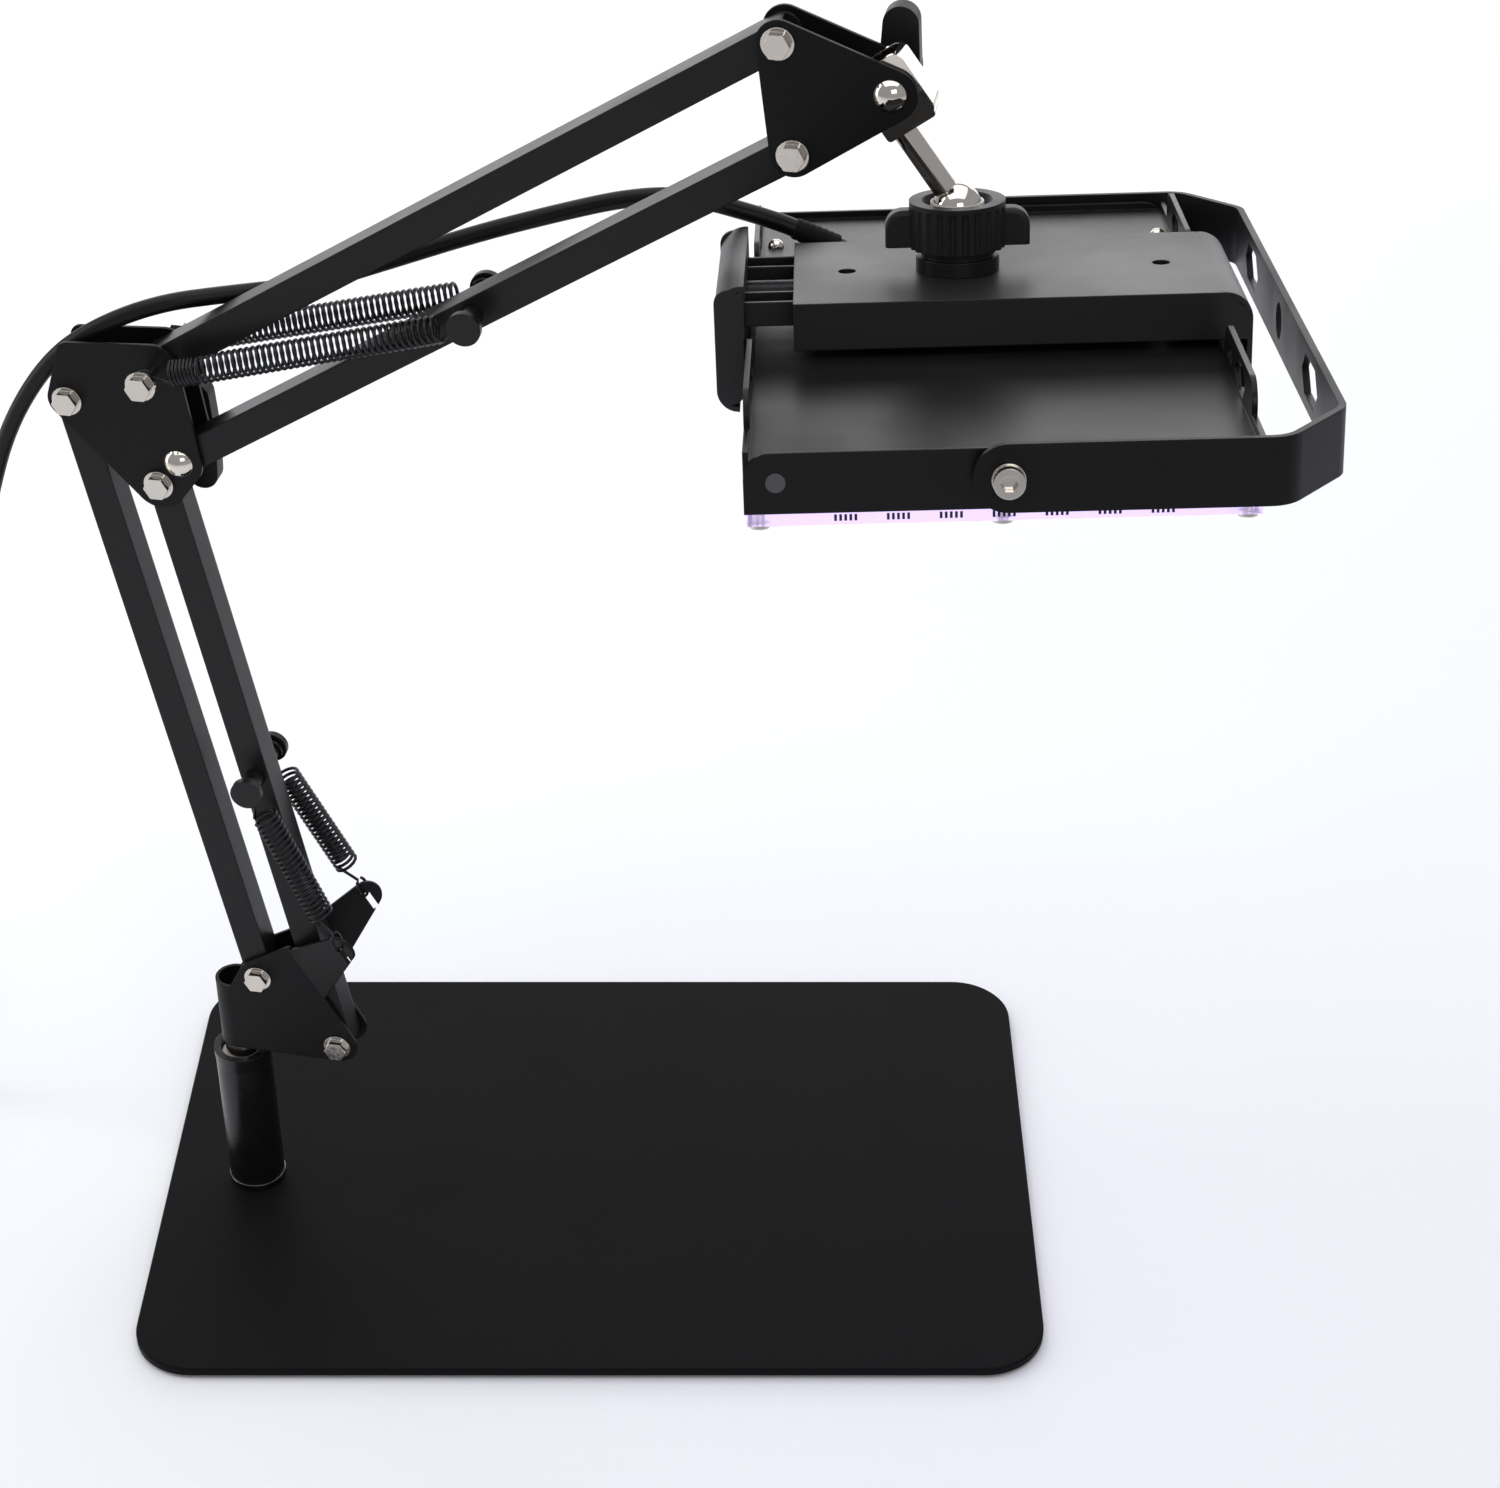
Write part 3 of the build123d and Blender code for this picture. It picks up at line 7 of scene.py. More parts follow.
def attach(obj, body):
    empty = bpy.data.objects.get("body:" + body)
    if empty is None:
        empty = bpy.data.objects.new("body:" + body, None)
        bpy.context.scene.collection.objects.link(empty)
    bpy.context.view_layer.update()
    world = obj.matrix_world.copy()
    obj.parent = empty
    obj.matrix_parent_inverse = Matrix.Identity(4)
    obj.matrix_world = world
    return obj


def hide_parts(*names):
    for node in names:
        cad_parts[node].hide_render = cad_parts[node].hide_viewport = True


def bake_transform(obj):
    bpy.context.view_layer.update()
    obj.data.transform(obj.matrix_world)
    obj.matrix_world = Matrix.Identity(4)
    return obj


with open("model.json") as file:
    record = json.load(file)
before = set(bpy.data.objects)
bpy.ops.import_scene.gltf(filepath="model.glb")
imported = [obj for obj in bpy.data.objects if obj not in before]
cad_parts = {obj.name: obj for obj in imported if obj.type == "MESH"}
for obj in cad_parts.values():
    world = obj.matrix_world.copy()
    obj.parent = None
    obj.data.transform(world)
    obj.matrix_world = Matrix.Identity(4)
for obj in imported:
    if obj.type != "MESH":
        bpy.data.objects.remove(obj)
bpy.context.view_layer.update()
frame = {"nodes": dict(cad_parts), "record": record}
nodes = frame["nodes"]
record = frame["record"]
joints = {joint["name"]: joint for joint in record["behaviour"]["joints"]}

MM = 0.001

# ---------------------------------------------------------------- shared places, as in the model
ARM_TURN = -10.0
LAMP_YAW, LAMP_TILT, LAMP_ROLL = -1.2, -10.0, -2.2
BALL = Vector(joints["ball_spin"]["pos_m"])
PIVOT_B = Vector(joints["lower_link"]["pos_m"])
PIVOT_P = Vector(joints["upper_arm"]["pos_m"])
PIVOT_N = Vector(joints["upper_link"]["pos_m"])


def degrees(angle, axis):
    return Matrix.Rotation(math.radians(angle), 4, axis)


ARM = degrees(ARM_TURN, "Z")
LAMP = Matrix.Translation(BALL) @ degrees(LAMP_YAW, "Z") @ degrees(LAMP_TILT, "X") @ degrees(LAMP_ROLL, "Y")


def in_arm(x, y, z):
    """A point of the arm's frame, in millimetres, in the object's frame in metres."""
    return ARM @ (Vector((x, y, z)) * MM)


def in_lamp(x, y, z):
    return LAMP @ (Vector((x, y, z)) * MM)


def in_row(x, y, z):
    return Vector((x, y, z)) * MM


# ---------------------------------------------------------------- materials
class Nodes:
    """A material's node tree, with short ways to add what most surfaces need."""

    def __init__(self, name, colour, metallic, roughness, **sockets):
        self.material = bpy.data.materials.new(name)
        self.material.use_nodes = True
        self.tree = self.material.node_tree
        self.shader = self.tree.nodes["Principled BSDF"]
        self.shader.inputs["Base Color"].default_value = (*colour, 1.0)
        self.shader.inputs["Metallic"].default_value = metallic
        self.shader.inputs["Roughness"].default_value = roughness
        for socket, value in sockets.items():
            self.shader.inputs[socket.replace("_", " ")].default_value = value
        self.place = self.tree.nodes.new("ShaderNodeTexCoord").outputs["Object"]

    def link(self, a, b):
        self.tree.links.new(a, b)

    def noise(self, scale, detail=3.0, stretch=(1.0, 1.0, 1.0)):
        mapping = self.tree.nodes.new("ShaderNodeMapping")
        mapping.inputs["Scale"].default_value = stretch
        noise = self.tree.nodes.new("ShaderNodeTexNoise")
        noise.inputs["Scale"].default_value = scale
        noise.inputs["Detail"].default_value = detail
        self.link(self.place, mapping.inputs["Vector"])
        self.link(mapping.outputs["Vector"], noise.inputs["Vector"])
        return noise.outputs["Fac"]

    def spread(self, factor, low, high):
        """A noise value, stretched to lie between two numbers."""
        ramp = self.tree.nodes.new("ShaderNodeMapRange")
        ramp.inputs["From Min"].default_value = 0.3
        ramp.inputs["From Max"].default_value = 0.7
        ramp.inputs["To Min"].default_value = low
        ramp.inputs["To Max"].default_value = high
        self.link(factor, ramp.inputs["Value"])
        return ramp.outputs["Result"]

    def tint(self, factor, dark, light):
        """Base colour between two colours."""
        mix = self.tree.nodes.new("ShaderNodeMix")
        mix.data_type = "RGBA"
        mix.inputs["A"].default_value = (*dark, 1.0)
        mix.inputs["B"].default_value = (*light, 1.0)
        self.link(factor, mix.inputs["Factor"])
        self.link(mix.outputs["Result"], self.shader.inputs["Base Color"])

    def bump(self, height, strength, distance, edge=0.0):
        """Fine relief, on edges that are rounded by the given radius."""
        bump = self.tree.nodes.new("ShaderNodeBump")
        bump.inputs["Strength"].default_value = strength
        bump.inputs["Distance"].default_value = distance
        self.link(height, bump.inputs["Height"])
        if edge:
            bevel = self.tree.nodes.new("ShaderNodeBevel")
            bevel.samples = 6
            bevel.inputs["Radius"].default_value = edge
            self.link(bevel.outputs["Normal"], bump.inputs["Normal"])
        self.link(bump.outputs["Normal"], self.shader.inputs["Normal"])


def scaled(colour, factor):
    return tuple(channel * factor for channel in colour)


def coated_steel(name, colour, roughness, shine, grain=2600.0, relief=0.25, edge=0.0005):
    """Powder coat: a fine even grain, slightly cloudy, a little glossier where hands rub it."""
    made = Nodes(name, colour, 0.0, roughness, Specular_IOR_Level=shine)
    cloud = made.noise(22.0, 4.0)
    made.tint(cloud, scaled(colour, 0.8), scaled(colour, 1.25))
    made.link(made.spread(cloud, roughness - 0.06, roughness + 0.06), made.shader.inputs["Roughness"])
    made.bump(made.noise(grain, 2.0), relief, 0.00008, edge)
    return made.material


def bright_metal(name, colour, roughness, stretch=(1.0, 1.0, 1.0), edge=0.00025):
    """Plated metal with faint rubbing marks."""
    made = Nodes(name, colour, 1.0, roughness)
    rub = made.noise(900.0, 4.0, stretch)
    made.tint(made.noise(160.0), scaled(colour, 0.88), colour)
    made.link(made.spread(rub, roughness * 0.7, roughness * 1.4), made.shader.inputs["Roughness"])
    made.bump(rub, 0.03, 0.00002, edge)
    return made.material


def moulded(name, colour, roughness, shine=0.25, grain=1500.0, relief=0.12, edge=0.0005):
    """Moulded plastic or rubber, with the mould's fine texture."""
    made = Nodes(name, colour, 0.0, roughness, Specular_IOR_Level=shine)
    cloud = made.noise(60.0, 3.0)
    made.tint(cloud, scaled(colour, 0.85), scaled(colour, 1.2))
    made.link(made.spread(cloud, roughness - 0.05, roughness + 0.07), made.shader.inputs["Roughness"])
    made.bump(made.noise(grain, 3.0), relief, 0.00006, edge)
    return made.material


def clear_plastic(name):
    """The lamp's clear cover, lit a little by the violet light that it lets through."""
    made = Nodes(name, (0.96, 0.94, 1.0), 0.0, 0.08, Transmission_Weight=0.95, IOR=1.47)
    made.shader.inputs["Emission Color"].default_value = (0.72, 0.58, 1.0, 1.0)
    made.shader.inputs["Emission Strength"].default_value = 0.2
    smear = made.noise(40.0, 3.0)
    made.link(made.spread(smear, 0.04, 0.14), made.shader.inputs["Roughness"])
    made.bump(smear, 0.05, 0.0001, 0.0004)
    return made.material


def lit(name, colour, strength):
    """A lit chip: bright, a little uneven."""
    made = Nodes(name, scaled(colour, 0.8), 0.0, 0.3)
    made.shader.inputs["Emission Color"].default_value = (*colour, 1.0)
    made.shader.inputs["Emission Strength"].default_value = strength
    made.tint(made.noise(300.0), scaled(colour, 0.6), colour)
    made.bump(made.noise(800.0), 0.1, 0.00005)
    return made.material


MATERIALS = {
    "base_coat": coated_steel("base_coat", (0.0055, 0.0055, 0.006), 0.5, 0.05, grain=2200.0, relief=0.35),
    "black_coat": coated_steel("black_coat", (0.006, 0.006, 0.0065), 0.42, 0.15),
    "lamp_coat": coated_steel("lamp_coat", (0.0055, 0.0055, 0.006), 0.34, 0.2, relief=0.15),
    "clamp_coat": coated_steel("clamp_coat", (0.01, 0.01, 0.0105), 0.4, 0.34, grain=3000.0, relief=0.2),
    "tube_coat": coated_steel("tube_coat", (0.01, 0.01, 0.0105), 0.36, 0.2, grain=3200.0, relief=0.12,
                              edge=0.0009),
    "nickel": bright_metal("nickel", (0.74, 0.69, 0.62), 0.07),
    "zinc": bright_metal("zinc", (0.66, 0.62, 0.57), 0.15),
    "dark_ring": bright_metal("dark_ring", (0.3, 0.29, 0.28), 0.14),
    "spring_wire": bright_metal("spring_wire", (0.035, 0.035, 0.037), 0.34),
    "black_plastic": moulded("black_plastic", (0.008, 0.008, 0.0085), 0.33),
    "knob_plastic": moulded("knob_plastic", (0.009, 0.009, 0.0095), 0.42, relief=0.2),
    "sleeve_plastic": moulded("sleeve_plastic", (0.006, 0.006, 0.0065), 0.28, shine=0.35),
    "nylon": moulded("nylon", (0.62, 0.61, 0.57), 0.45),
    "black_rubber": moulded("black_rubber", (0.007, 0.007, 0.007), 0.6, shine=0.1, relief=0.3),
    "cord_sheath": moulded("cord_sheath", (0.006, 0.006, 0.0065), 0.4, shine=0.2, relief=0.08, edge=0.0),
    "grey_mark": moulded("grey_mark", (0.075, 0.075, 0.078), 0.5),
    "dark_mark": moulded("dark_mark", (0.02, 0.018, 0.03), 0.5, edge=0.0),
    "board_mask": moulded("board_mask", (0.7, 0.7, 0.72), 0.4),
    "clear_cover": clear_plastic("clear_cover"),
    "violet_chip": lit("violet_chip", (0.45, 0.25, 1.0), 1.0),
    "brass": bright_metal("brass", (0.72, 0.55, 0.26), 0.2),
}

NODE_MATERIALS = {
    "base_coat": ["base_plate"],
    "black_coat": ["lower_bracket", "elbow_plates", "head_plates", "yoke"],
    "lamp_coat": ["lamp_housing"],
    "clamp_coat": ["clamp_shell", "clamp_jaw", "clamp_rails"],
    "tube_coat": ["lower_tube_left", "lower_tube_right", "upper_tube_top", "upper_tube_bottom"],
    "nickel": ["head_saddle", "ball_stem", "ball", "saddle_bolt", "elbow_knob_bolt"],
    "zinc": ["bracket_bolts", "elbow_bolts", "spring_bolt", "head_bolts", "post_screw", "post_core",
             "bracket_spindle", "lamp_posts", "lamp_screws", "yoke_screws", "yoke_washers"],
    "dark_ring": ["post_ring"],
    "spring_wire": ["jaw_spring", "lower_spring_front", "lower_spring_rear", "upper_spring_front",
                    "upper_spring_rear"],
    "black_plastic": ["lower_spring_stud", "upper_spring_stud", "ball_cup", "cord_gland", "cord_box",
                      "plug_body"],
    "knob_plastic": ["clamp_nut", "elbow_knob", "head_knob"],
    "sleeve_plastic": ["post_sleeve"],
    "nylon": ["spindle_bush", "bracket_washers", "elbow_washers", "head_washers", "ball_liner"],
    "black_rubber": ["base_feet", "jaw_pad_left", "jaw_pad_right"],
    "cord_sheath": ["cord_upper", "cord_lower", "cord_coil"],
    "board_mask": ["led_board"],
    "clear_cover": ["lamp_cover"],
    "violet_chip": ["led_strips"],
    "brass": ["plug_pins"],
}


def dress(piece, name):
    """Give every slot of a piece one material."""
    if not piece.material_slots:
        piece.data.materials.append(MATERIALS[name])
    for slot in piece.material_slots:
        slot.material = MATERIALS[name]


for material_name, node_names in NODE_MATERIALS.items():
    for node_name in node_names:
        dress(nodes[node_name], material_name)


# ---------------------------------------------------------------- mesh helpers
def mesh_piece(name, verts, faces, material, smooth=True):
    """A mesh object; where it is smooth, faces with more than four corners stay flat, with sharp edges."""
    mesh = bpy.data.meshes.new(name)
    mesh.from_pydata(verts, [], faces)
    mesh.update()
    capped = set()
    for polygon in mesh.polygons:
        polygon.use_smooth = smooth and len(polygon.vertices) <= 4
        if len(polygon.vertices) > 4:
            capped.update(polygon.edge_keys)
    for edge in mesh.edges:
        edge.use_edge_sharp = tuple(edge.key) in capped
    piece = bpy.data.objects.new(name, mesh)
    bpy.context.scene.collection.objects.link(piece)
    dress(piece, material)
    return piece


def tube_mesh(points, radii, sides):
    """Vertices and faces of a round tube along points, closed at both ends; radii is one or one a point."""
    verts, faces = [], []
    normal = None
    for i, point in enumerate(points):
        ahead = points[min(i + 1, len(points) - 1)] - points[max(i - 1, 0)]
        ahead.normalize()
        if normal is None:
            normal = ahead.orthogonal().normalized()
        normal = (normal - ahead * normal.dot(ahead)).normalized()
        other = ahead.cross(normal)
        radius = radii if isinstance(radii, float) else radii[i]
        for k in range(sides):
            angle = 2 * math.pi * k / sides
            verts.append(point + (normal * math.cos(angle) + other * math.sin(angle)) * radius)
    for i in range(len(points) - 1):
        for k in range(sides):
            a, b = i * sides + k, i * sides + (k + 1) % sides
            faces.append((a, b, b + sides, a + sides))
    last = (len(points) - 1) * sides
    faces.append(tuple(range(sides - 1, -1, -1)))
    faces.append(tuple(last + k for k in range(sides)))
    return verts, faces


def spline_points(points, resolution):
    """Points along a smooth NURBS line whose control points are given."""
    curve = bpy.data.curves.new("line", "CURVE")
    curve.dimensions = "3D"
    curve.resolution_u = resolution
    spline = curve.splines.new("NURBS")
    spline.points.add(len(points) - 1)
    for control, point in zip(spline.points, points):
        control.co = (*point, 1.0)
    spline.order_u = 3
    spline.use_endpoint_u = True
    holder = bpy.data.objects.new("line", curve)
    bpy.context.scene.collection.objects.link(holder)
    bpy.context.view_layer.update()
    mesh = bpy.data.meshes.new_from_object(holder)
    line = [vertex.co.copy() for vertex in mesh.vertices]
    bpy.data.objects.remove(holder)
    bpy.data.meshes.remove(mesh)
    return line


# ---------------------------------------------------------------- cord
CORD_DIAMETER = 5.5
GLAND_AXIS_RISE = 30.0
GLAND_BASE = (-21.0, 43.0, -30.2)
GLAND_LENGTH = 16.0
COIL_MEAN_DIAMETER = 62.0
COIL_TURNS = 4.25
COIL_GAP = 0.2
COIL_STEP = 72.0
COIL_FIRST = -60.0
COIL_POINTS_PER_TURN = 20
PLUG_DEPTH = 6.0
CORD_LINE_RESOLUTION = 12
CORD_SIDES = 20

rise = math.radians(GLAND_AXIS_RISE)
gland_end = Vector(GLAND_BASE) + Vector((-math.cos(rise), 0, math.sin(rise))) * GLAND_LENGTH

CORD_ROUTE = [
    in_lamp(*gland_end),
    in_lamp(-46.0, 42.6, -16.2),
    in_lamp(-59.0, 41.4, -11.0),
    in_arm(163.0, 25.0, 399.6),
    in_arm(145.0, 24.0, 397.9),
    in_arm(122.0, 24.0, 390.8),
    in_arm(97.0, 24.0, 382.2),
    in_arm(70.0, 23.5, 371.6),
    in_arm(44.0, 19.0, 363.0),
    in_arm(20.0, 11.0, 361.8),
    in_arm(1.0, 2.5, 361.2),
    in_arm(-20.0, 0.0, 352.4),
    in_arm(-37.0, 0.0, 339.2),
    in_arm(-53.5, 0.5, 315.0),
    in_arm(-65.0, 2.0, 286.0),
    in_row(-74.0, 20.0, 252.0),
    in_row(-80.0, 26.0, 209.0),
    in_row(-87.0, 31.0, 162.0),
    in_row(-97.0, 36.0, 112.0),
    in_row(-107.0, 41.0, 66.0),
    in_row(-120.0, 46.0, 30.0),
    in_row(-140.0, 52.0, 9.5),
    in_row(-164.0, 58.0, 2.8),
    in_row(-190.0, 60.0, 3.45),
]


def coil_points():
    """Turns that lie beside each other in a round bundle, then the way into the plug."""
    start, before = CORD_ROUTE[-1], CORD_ROUTE[-2]
    way = Vector((start.x - before.x, start.y - before.y, 0)).normalized()
    outward = Vector((-way.y, way.x, 0))
    radius = COIL_MEAN_DIAMETER / 2 * MM
    bundle = (CORD_DIAMETER + COIL_GAP) / (2 * math.sin(math.radians(COIL_STEP / 2))) * MM
    section = bundle + CORD_DIAMETER / 2 * MM
    entry = radius + bundle * math.cos(math.radians(COIL_FIRST))
    centre = Vector((start.x, start.y, 0)) - outward * entry
    first = math.atan2(outward.y, outward.x)
    points = []
    count = round(COIL_TURNS * COIL_POINTS_PER_TURN)
    for i in range(1, count + 1):
        turn = i / COIL_POINTS_PER_TURN
        place = math.radians(COIL_FIRST - COIL_STEP * turn)
        reach = radius + bundle * math.cos(place)
        angle = first - 2 * math.pi * turn
        points.append(centre + Vector((reach * math.cos(angle), reach * math.sin(angle),
                                       section + bundle * math.sin(place))))
    points.append(Vector((points[-1].x, points[-1].y + PLUG_DEPTH * MM, points[-1].z)))
    return points


cord_line = spline_points(CORD_ROUTE + coil_points(), CORD_LINE_RESOLUTION)

# where the cord passes from one body to the next, as distances along it in millimetres
CORD_CHAIN = [
    ("lamp", "ball_liner", 50.0),
    ("ball_liner", "ball", 84.0),
    ("ball", "saddle", 118.0),
    ("saddle", "head", 152.0),
    ("head", "upper_arm", 186.0),
    ("upper_arm", "elbow", 242.0),
    ("elbow", "lower_arm", 300.0),
    ("lower_arm", "bracket", 470.0),
    ("bracket", "base", 640.0),
]


def cut_line(line, stops):
    """The line in pieces, parted at distances along it; neighbours share a point."""
    parts, part, travelled = [], [line[0]], 0.0
    stops = list(stops)
    for before, after in zip(line, line[1:]):
        step = (after - before).length
        while stops and travelled + step >= stops[0]:
            cut = before.lerp(after, (stops[0] - travelled) / step)
            part.append(cut)
            parts.append(part)
            part = [cut]
            stops.pop(0)
        part.append(after)
        travelled += step
    parts.append(part)
    return [[p for i, p in enumerate(part) if i == 0 or (p - part[i - 1]).length > 1e-5] for part in parts]


def line_length(line):
    return sum((b - a).length for a, b in zip(line, line[1:]))


cord_parts = cut_line(cord_line, [stop * MM for _, _, stop in CORD_CHAIN])
for i, part in enumerate(cord_parts):
    verts, faces = tube_mesh(part, CORD_DIAMETER / 2 * MM, CORD_SIDES)
    last = i == len(CORD_CHAIN)
    piece = mesh_piece(f"cord_{i:02d}", verts, faces, "cord_sheath")
    if last:
        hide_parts("cord_coil")
        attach(piece, "base")
    else:
        before, after, _ = CORD_CHAIN[i]
        if before == "lamp":
            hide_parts("cord_upper")
        if after == "base":
            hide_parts("cord_lower")
        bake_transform(piece)


# ---------------------------------------------------------------- springs
SPRING_RADIUS = 4.0
WIRE_DIAMETER = 1.15
SPRING_EYE_POINTS = 14
SPRING_EYE_TURN = 1.75  # of an eye, in half turns
COIL_SEGMENTS = 14
CLOSE_COIL_SPACING = 1.08  # of coils that lie together, in wire diameters
WIRE_SIDES = 8
LOWER_SPRING_BODY, LOWER_SPRING_TURNS = 42.0, 22
UPPER_SPRING_BODY, UPPER_SPRING_TURNS = 88.0, 46
UPPER_SPRING_BUNCHED = 7


def helix_line(start, end, body, turns, eye_start, eye_end, eye_way, bunched=0):
    """The wire of a tension spring: an eye, a bend in to the side, the coils and the same at the far end.

    eye_way is the axis that each end's eye turns about; bunched is how many first coils lie close together.
    """
    run = end - start
    length = run.length
    along = run.normalized()
    side = eye_way[0].cross(along).normalized()
    other = along.cross(side)
    points = []
    for k in range(SPRING_EYE_POINTS):
        angle = math.pi * SPRING_EYE_TURN * (1 - k / (SPRING_EYE_POINTS - 1))
        points.append(start + (along * math.cos(angle) + side * math.sin(angle)) * eye_start)
    near = (length - body) / 2
    count = turns * COIL_SEGMENTS
    tight = WIRE_DIAMETER * MM * CLOSE_COIL_SPACING
    close = bunched * tight
    pitch = (body - close) / (turns - bunched)
    for k in range(count + 1):
        turn = k / COIL_SEGMENTS
        place = near + (turn * tight if turn < bunched else close + (turn - bunched) * pitch)
        angle = 2 * math.pi * turn
        points.append(start + along * place
                      + (side * math.cos(angle) + other * math.sin(angle)) * SPRING_RADIUS * MM)
    far_side = eye_way[1].cross(along).normalized()
    for k in range(SPRING_EYE_POINTS):
        angle = math.pi * (1 - SPRING_EYE_TURN * k / (SPRING_EYE_POINTS - 1))
        points.append(end + (along * math.cos(angle) + far_side * math.sin(angle)) * eye_end)
    return points


def spring(node, start, end, body, turns, eyes, eye_way, bunched=0):
    line = helix_line(start, end, body * MM, turns, eyes[0] * MM, eyes[1] * MM, eye_way, bunched)
    verts, faces = tube_mesh(line, WIRE_DIAMETER / 2 * MM, WIRE_SIDES)
    piece = mesh_piece(node + "_wire", verts, faces, "spring_wire")
    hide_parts(node)
    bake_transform(piece)
    return piece


ARM_SIDE = Vector(ARM.col[1][:3])
STUD_FROM_PIVOT = 114.6
LOWER_ANGLE = math.radians(100.25)
UPPER_ANGLE = math.radians(31.2)
SPRING_OFFSET = 11.6
BOLT_SPRING_OFFSET = 13.0


def along_arm(pivot, angle, distance, y):
    """A point at a distance from a pivot along a link, and off the arm's middle plane."""
    x_way = Vector(ARM.col[0][:3])
    way = x_way * math.cos(angle) + Vector((0, 0, 1)) * math.sin(angle)
    return pivot + way * distance * MM + ARM_SIDE * y * MM


HOOK = {-1: in_arm(46.84, -16.1, 129.3), 1: in_arm(46.84, 16.1, 129.3)}
STUD_EYE, BOLT_EYE, HOOK_EYE = 3.9, 2.7, 3.3
for sign, name in ((-1, "front"), (1, "rear")):
    stud = along_arm(PIVOT_B, LOWER_ANGLE, STUD_FROM_PIVOT, sign * SPRING_OFFSET)
    hook = HOOK[sign]
    hook_end = hook + (stud - hook).normalized() * (HOOK_EYE + 0.3) * MM
    across = Vector((0, 0, 1)).cross(ARM_SIDE)
    spring(f"lower_spring_{name}", stud, hook_end, LOWER_SPRING_BODY,
           LOWER_SPRING_TURNS, (STUD_EYE, HOOK_EYE), (ARM_SIDE, across))
    bolt = PIVOT_P + ARM_SIDE * sign * BOLT_SPRING_OFFSET * MM
    upper_stud = along_arm(PIVOT_N, UPPER_ANGLE, STUD_FROM_PIVOT, sign * SPRING_OFFSET)
    spring(f"upper_spring_{name}", bolt, upper_stud, UPPER_SPRING_BODY,
           UPPER_SPRING_TURNS, (BOLT_EYE, STUD_EYE), (ARM_SIDE, ARM_SIDE), bunched=UPPER_SPRING_BUNCHED)


# ---------------------------------------------------------------- lamp details
LAMP_LEFT, LAMP_RIGHT = -60.0, 73.0
LAMP_FRONT, LAMP_REAR = -123.0, 126.0
BOARD_BASE = -43.5
CHIP_HEIGHT = 1.6


def bevelled_box(name, boxes, material, bevel):
    """Small blocks, each given by its limits in the lamp's frame, as one piece with rounded edges."""
    verts, faces = [], []
    for low, high in boxes:
        base = len(verts)
        for x in (low[0], high[0]):
            for y in (low[1], high[1]):
                for z in (low[2], high[2]):
                    verts.append(in_lamp(x, y, z))
        for quad in ((0, 1, 3, 2), (4, 6, 7, 5), (0, 4, 5, 1), (2, 3, 7, 6), (0, 2, 6, 4), (1, 5, 7, 3)):
            faces.append(tuple(base + corner for corner in quad))
    piece = mesh_piece(name, verts, faces, material, smooth=False)
    rounding = piece.modifiers.new("edges", "BEVEL")
    rounding.width = bevel * MM
    rounding.segments = 2
    return piece


def led_chips():
    """Rows of small chips on the strips."""
    boxes = []
    strips, per_strip, chip = 7, 36, 3.0
    side_inset, end_inset = 12.0, 18.0
    chip_drop, chip_sink = 0.9, 0.1
    for i in range(strips):
        x = LAMP_LEFT + side_inset + i * (LAMP_RIGHT - LAMP_LEFT - 2 * side_inset) / (strips - 1)
        for k in range(per_strip):
            y = LAMP_FRONT + end_inset + k * (LAMP_REAR - LAMP_FRONT - 2 * end_inset) / (per_strip - 1)
            top = BOARD_BASE - CHIP_HEIGHT
            boxes.append(((x - chip / 2, y - chip / 2, top - chip_drop),
                          (x + chip / 2, y + chip / 2, top + chip_sink)))
    piece = bevelled_box("led_chips", boxes, "violet_chip", 0.2)
    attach(piece, "lamp")


led_chips()


def front_marks():
    """A round plug in the front wall, and the groups of chips that show through the cover's edge."""
    plug_x, plug_z, plug_radius, plug_sides = -51.7, -39.6, 2.6, 32
    plug_chamfer = 0.25
    line = [in_lamp(plug_x, LAMP_FRONT + depth, plug_z) for depth in (0.8, -0.25, -0.35)]
    radii = [plug_radius * MM, plug_radius * MM, (plug_radius - plug_chamfer) * MM]
    verts, faces = tube_mesh(line, radii, plug_sides)
    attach(mesh_piece("wall_plug", verts, faces, "grey_mark"), "lamp")

    groups, bars, pitch = 7, 5, 1.3
    group_inset, bar_half, bar_base, bar_top = 26.0, 0.35, -50.4, -48.7
    first, last = LAMP_LEFT + group_inset, LAMP_RIGHT - group_inset
    cover_front = LAMP_FRONT + 0.6
    bar_front, bar_rear = cover_front - 0.05, cover_front + 0.5
    boxes = []
    for i in range(groups):
        for k in range(bars):
            x = first + (last - first) * i / (groups - 1) + (k - (bars - 1) / 2) * pitch
            boxes.append(((x - bar_half, bar_front, bar_base), (x + bar_half, bar_rear, bar_top)))
    piece = bevelled_box("cover_marks", boxes, "dark_mark", 0.03)
    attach(piece, "lamp")


def strain_relief():
    """The tapered rubber sleeve that guides the cord out of its gland."""
    length, sections, base_radius, end_radius = 14.0, 15, 3.7, 3.05
    line = cut_line(cord_line, [length * MM])[0]
    line = [line[0] + (line[1] - line[0]) * 0.01] + line[1:]
    travelled = [line_length(line[:i + 1]) for i in range(len(line))]
    even = []
    for i in range(sections):
        want = travelled[-1] * i / (sections - 1)
        k = max(j for j, t in enumerate(travelled[:-1]) if t <= want)
        even.append(line[k].lerp(line[k + 1], (want - travelled[k]) / (travelled[k + 1] - travelled[k])))
    radii = []
    for i in range(sections):
        rib = 0.25 if i % 2 else 0.0
        radii.append((base_radius + (end_radius - base_radius) * i / (sections - 1) + rib) * MM)
    verts, faces = tube_mesh(even, radii, 24)
    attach(mesh_piece("cord_relief", verts, faces, "black_rubber"), "lamp")


front_marks()
strain_relief()

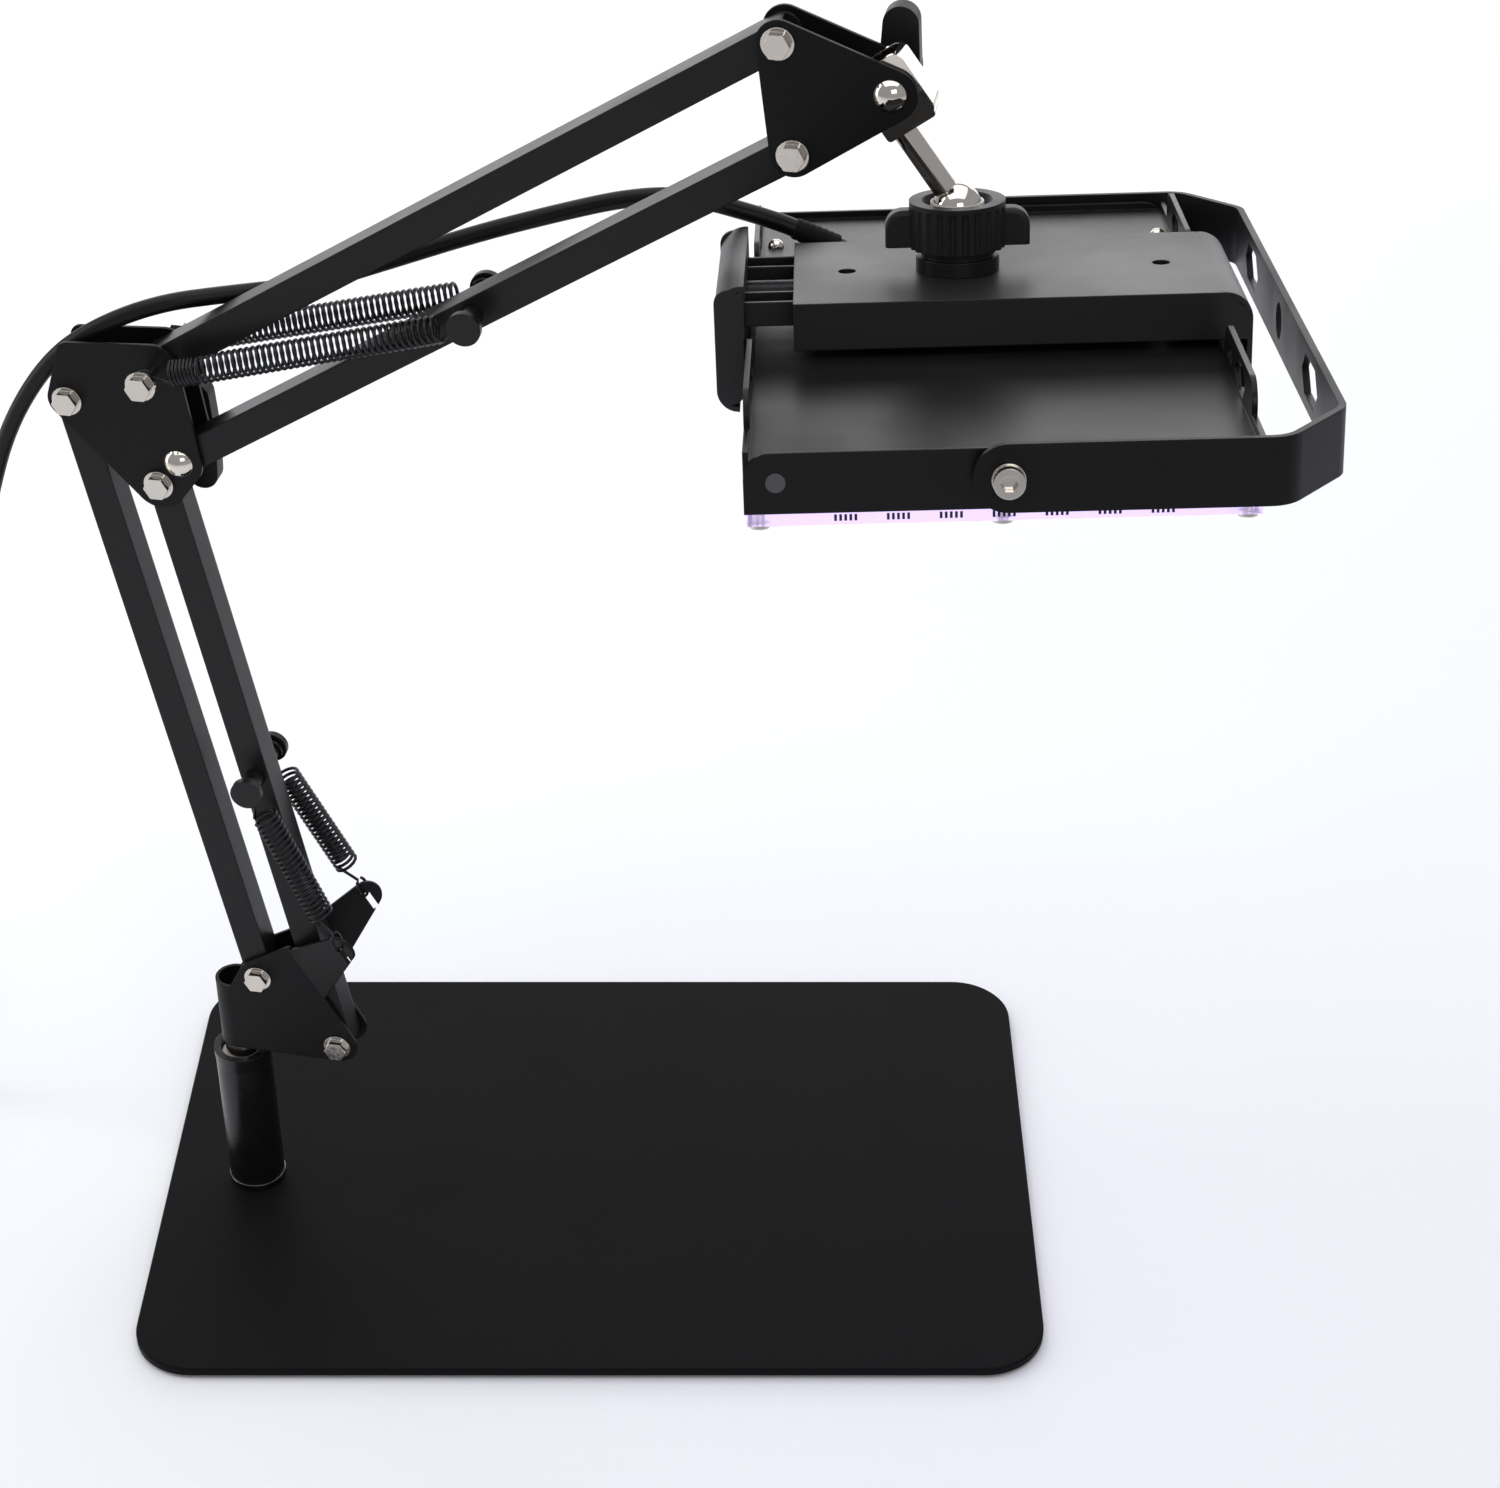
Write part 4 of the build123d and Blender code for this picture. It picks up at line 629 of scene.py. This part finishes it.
# ---------------------------------------------------------------- room, light and camera
CAMERA_PLACE = (0.184, -0.840, 0.7673)
CAMERA_PITCH = 55.9
CAMERA_LENS = 72.0


def area_light(name, place, aim, size, energy, colour=(1.0, 1.0, 1.0)):
    light = bpy.data.lights.new(name, "AREA")
    light.shape = "RECTANGLE"
    light.size, light.size_y = size
    light.energy = energy
    light.color = colour
    lamp = bpy.data.objects.new(name, light)
    lamp.location = place
    lamp.rotation_euler = (Vector(aim) - Vector(place)).to_track_quat("-Z", "Y").to_euler()
    bpy.context.scene.collection.objects.link(lamp)


def floor():
    size = 6.0
    verts = [(-size, -size, 0), (size, -size, 0), (size, size, 0), (-size, size, 0)]
    made = Nodes("floor_paper", (0.9, 0.905, 0.92), 0.0, 0.9)
    made.tint(made.noise(3.0), (0.89, 0.895, 0.91), (0.91, 0.915, 0.93))
    MATERIALS["floor_paper"] = made.material
    sheet = mesh_piece("floor", verts, [(0, 1, 2, 3)], "floor_paper", smooth=False)


floor()
world = bpy.data.worlds.new("studio")
world.use_nodes = True
world.node_tree.nodes["Background"].inputs["Color"].default_value = (0.92, 0.94, 1.0, 1.0)
world.node_tree.nodes["Background"].inputs["Strength"].default_value = 0.42
bpy.context.scene.world = world
bpy.context.scene.view_settings.view_transform = "Standard"

area_light("overhead", (0.1, 0.2, 1.7), (0.1, 0.0, 0.0), (2.2, 2.2), 20.0)
area_light("back_wall", (0.15, 1.9, 0.75), (0.15, 0.0, 0.3), (3.0, 1.2), 18.0)
area_light("left_strip", (-1.3, 0.1, 0.7), (0.1, 0.0, 0.25), (0.5, 1.4), 6.0)
area_light("front_fill", (0.6, -1.8, 1.3), (0.15, 0.0, 0.25), (1.0, 0.7), 5.0)

camera_data = bpy.data.cameras.new("camera")
camera_data.lens = CAMERA_LENS
camera_data.sensor_width = 36.0
camera_data.clip_start = 0.01
camera = bpy.data.objects.new("camera", camera_data)
camera.location = CAMERA_PLACE
camera.rotation_euler = (math.radians(CAMERA_PITCH), 0.0, 0.0)
bpy.context.scene.collection.objects.link(camera)
bpy.context.scene.camera = camera
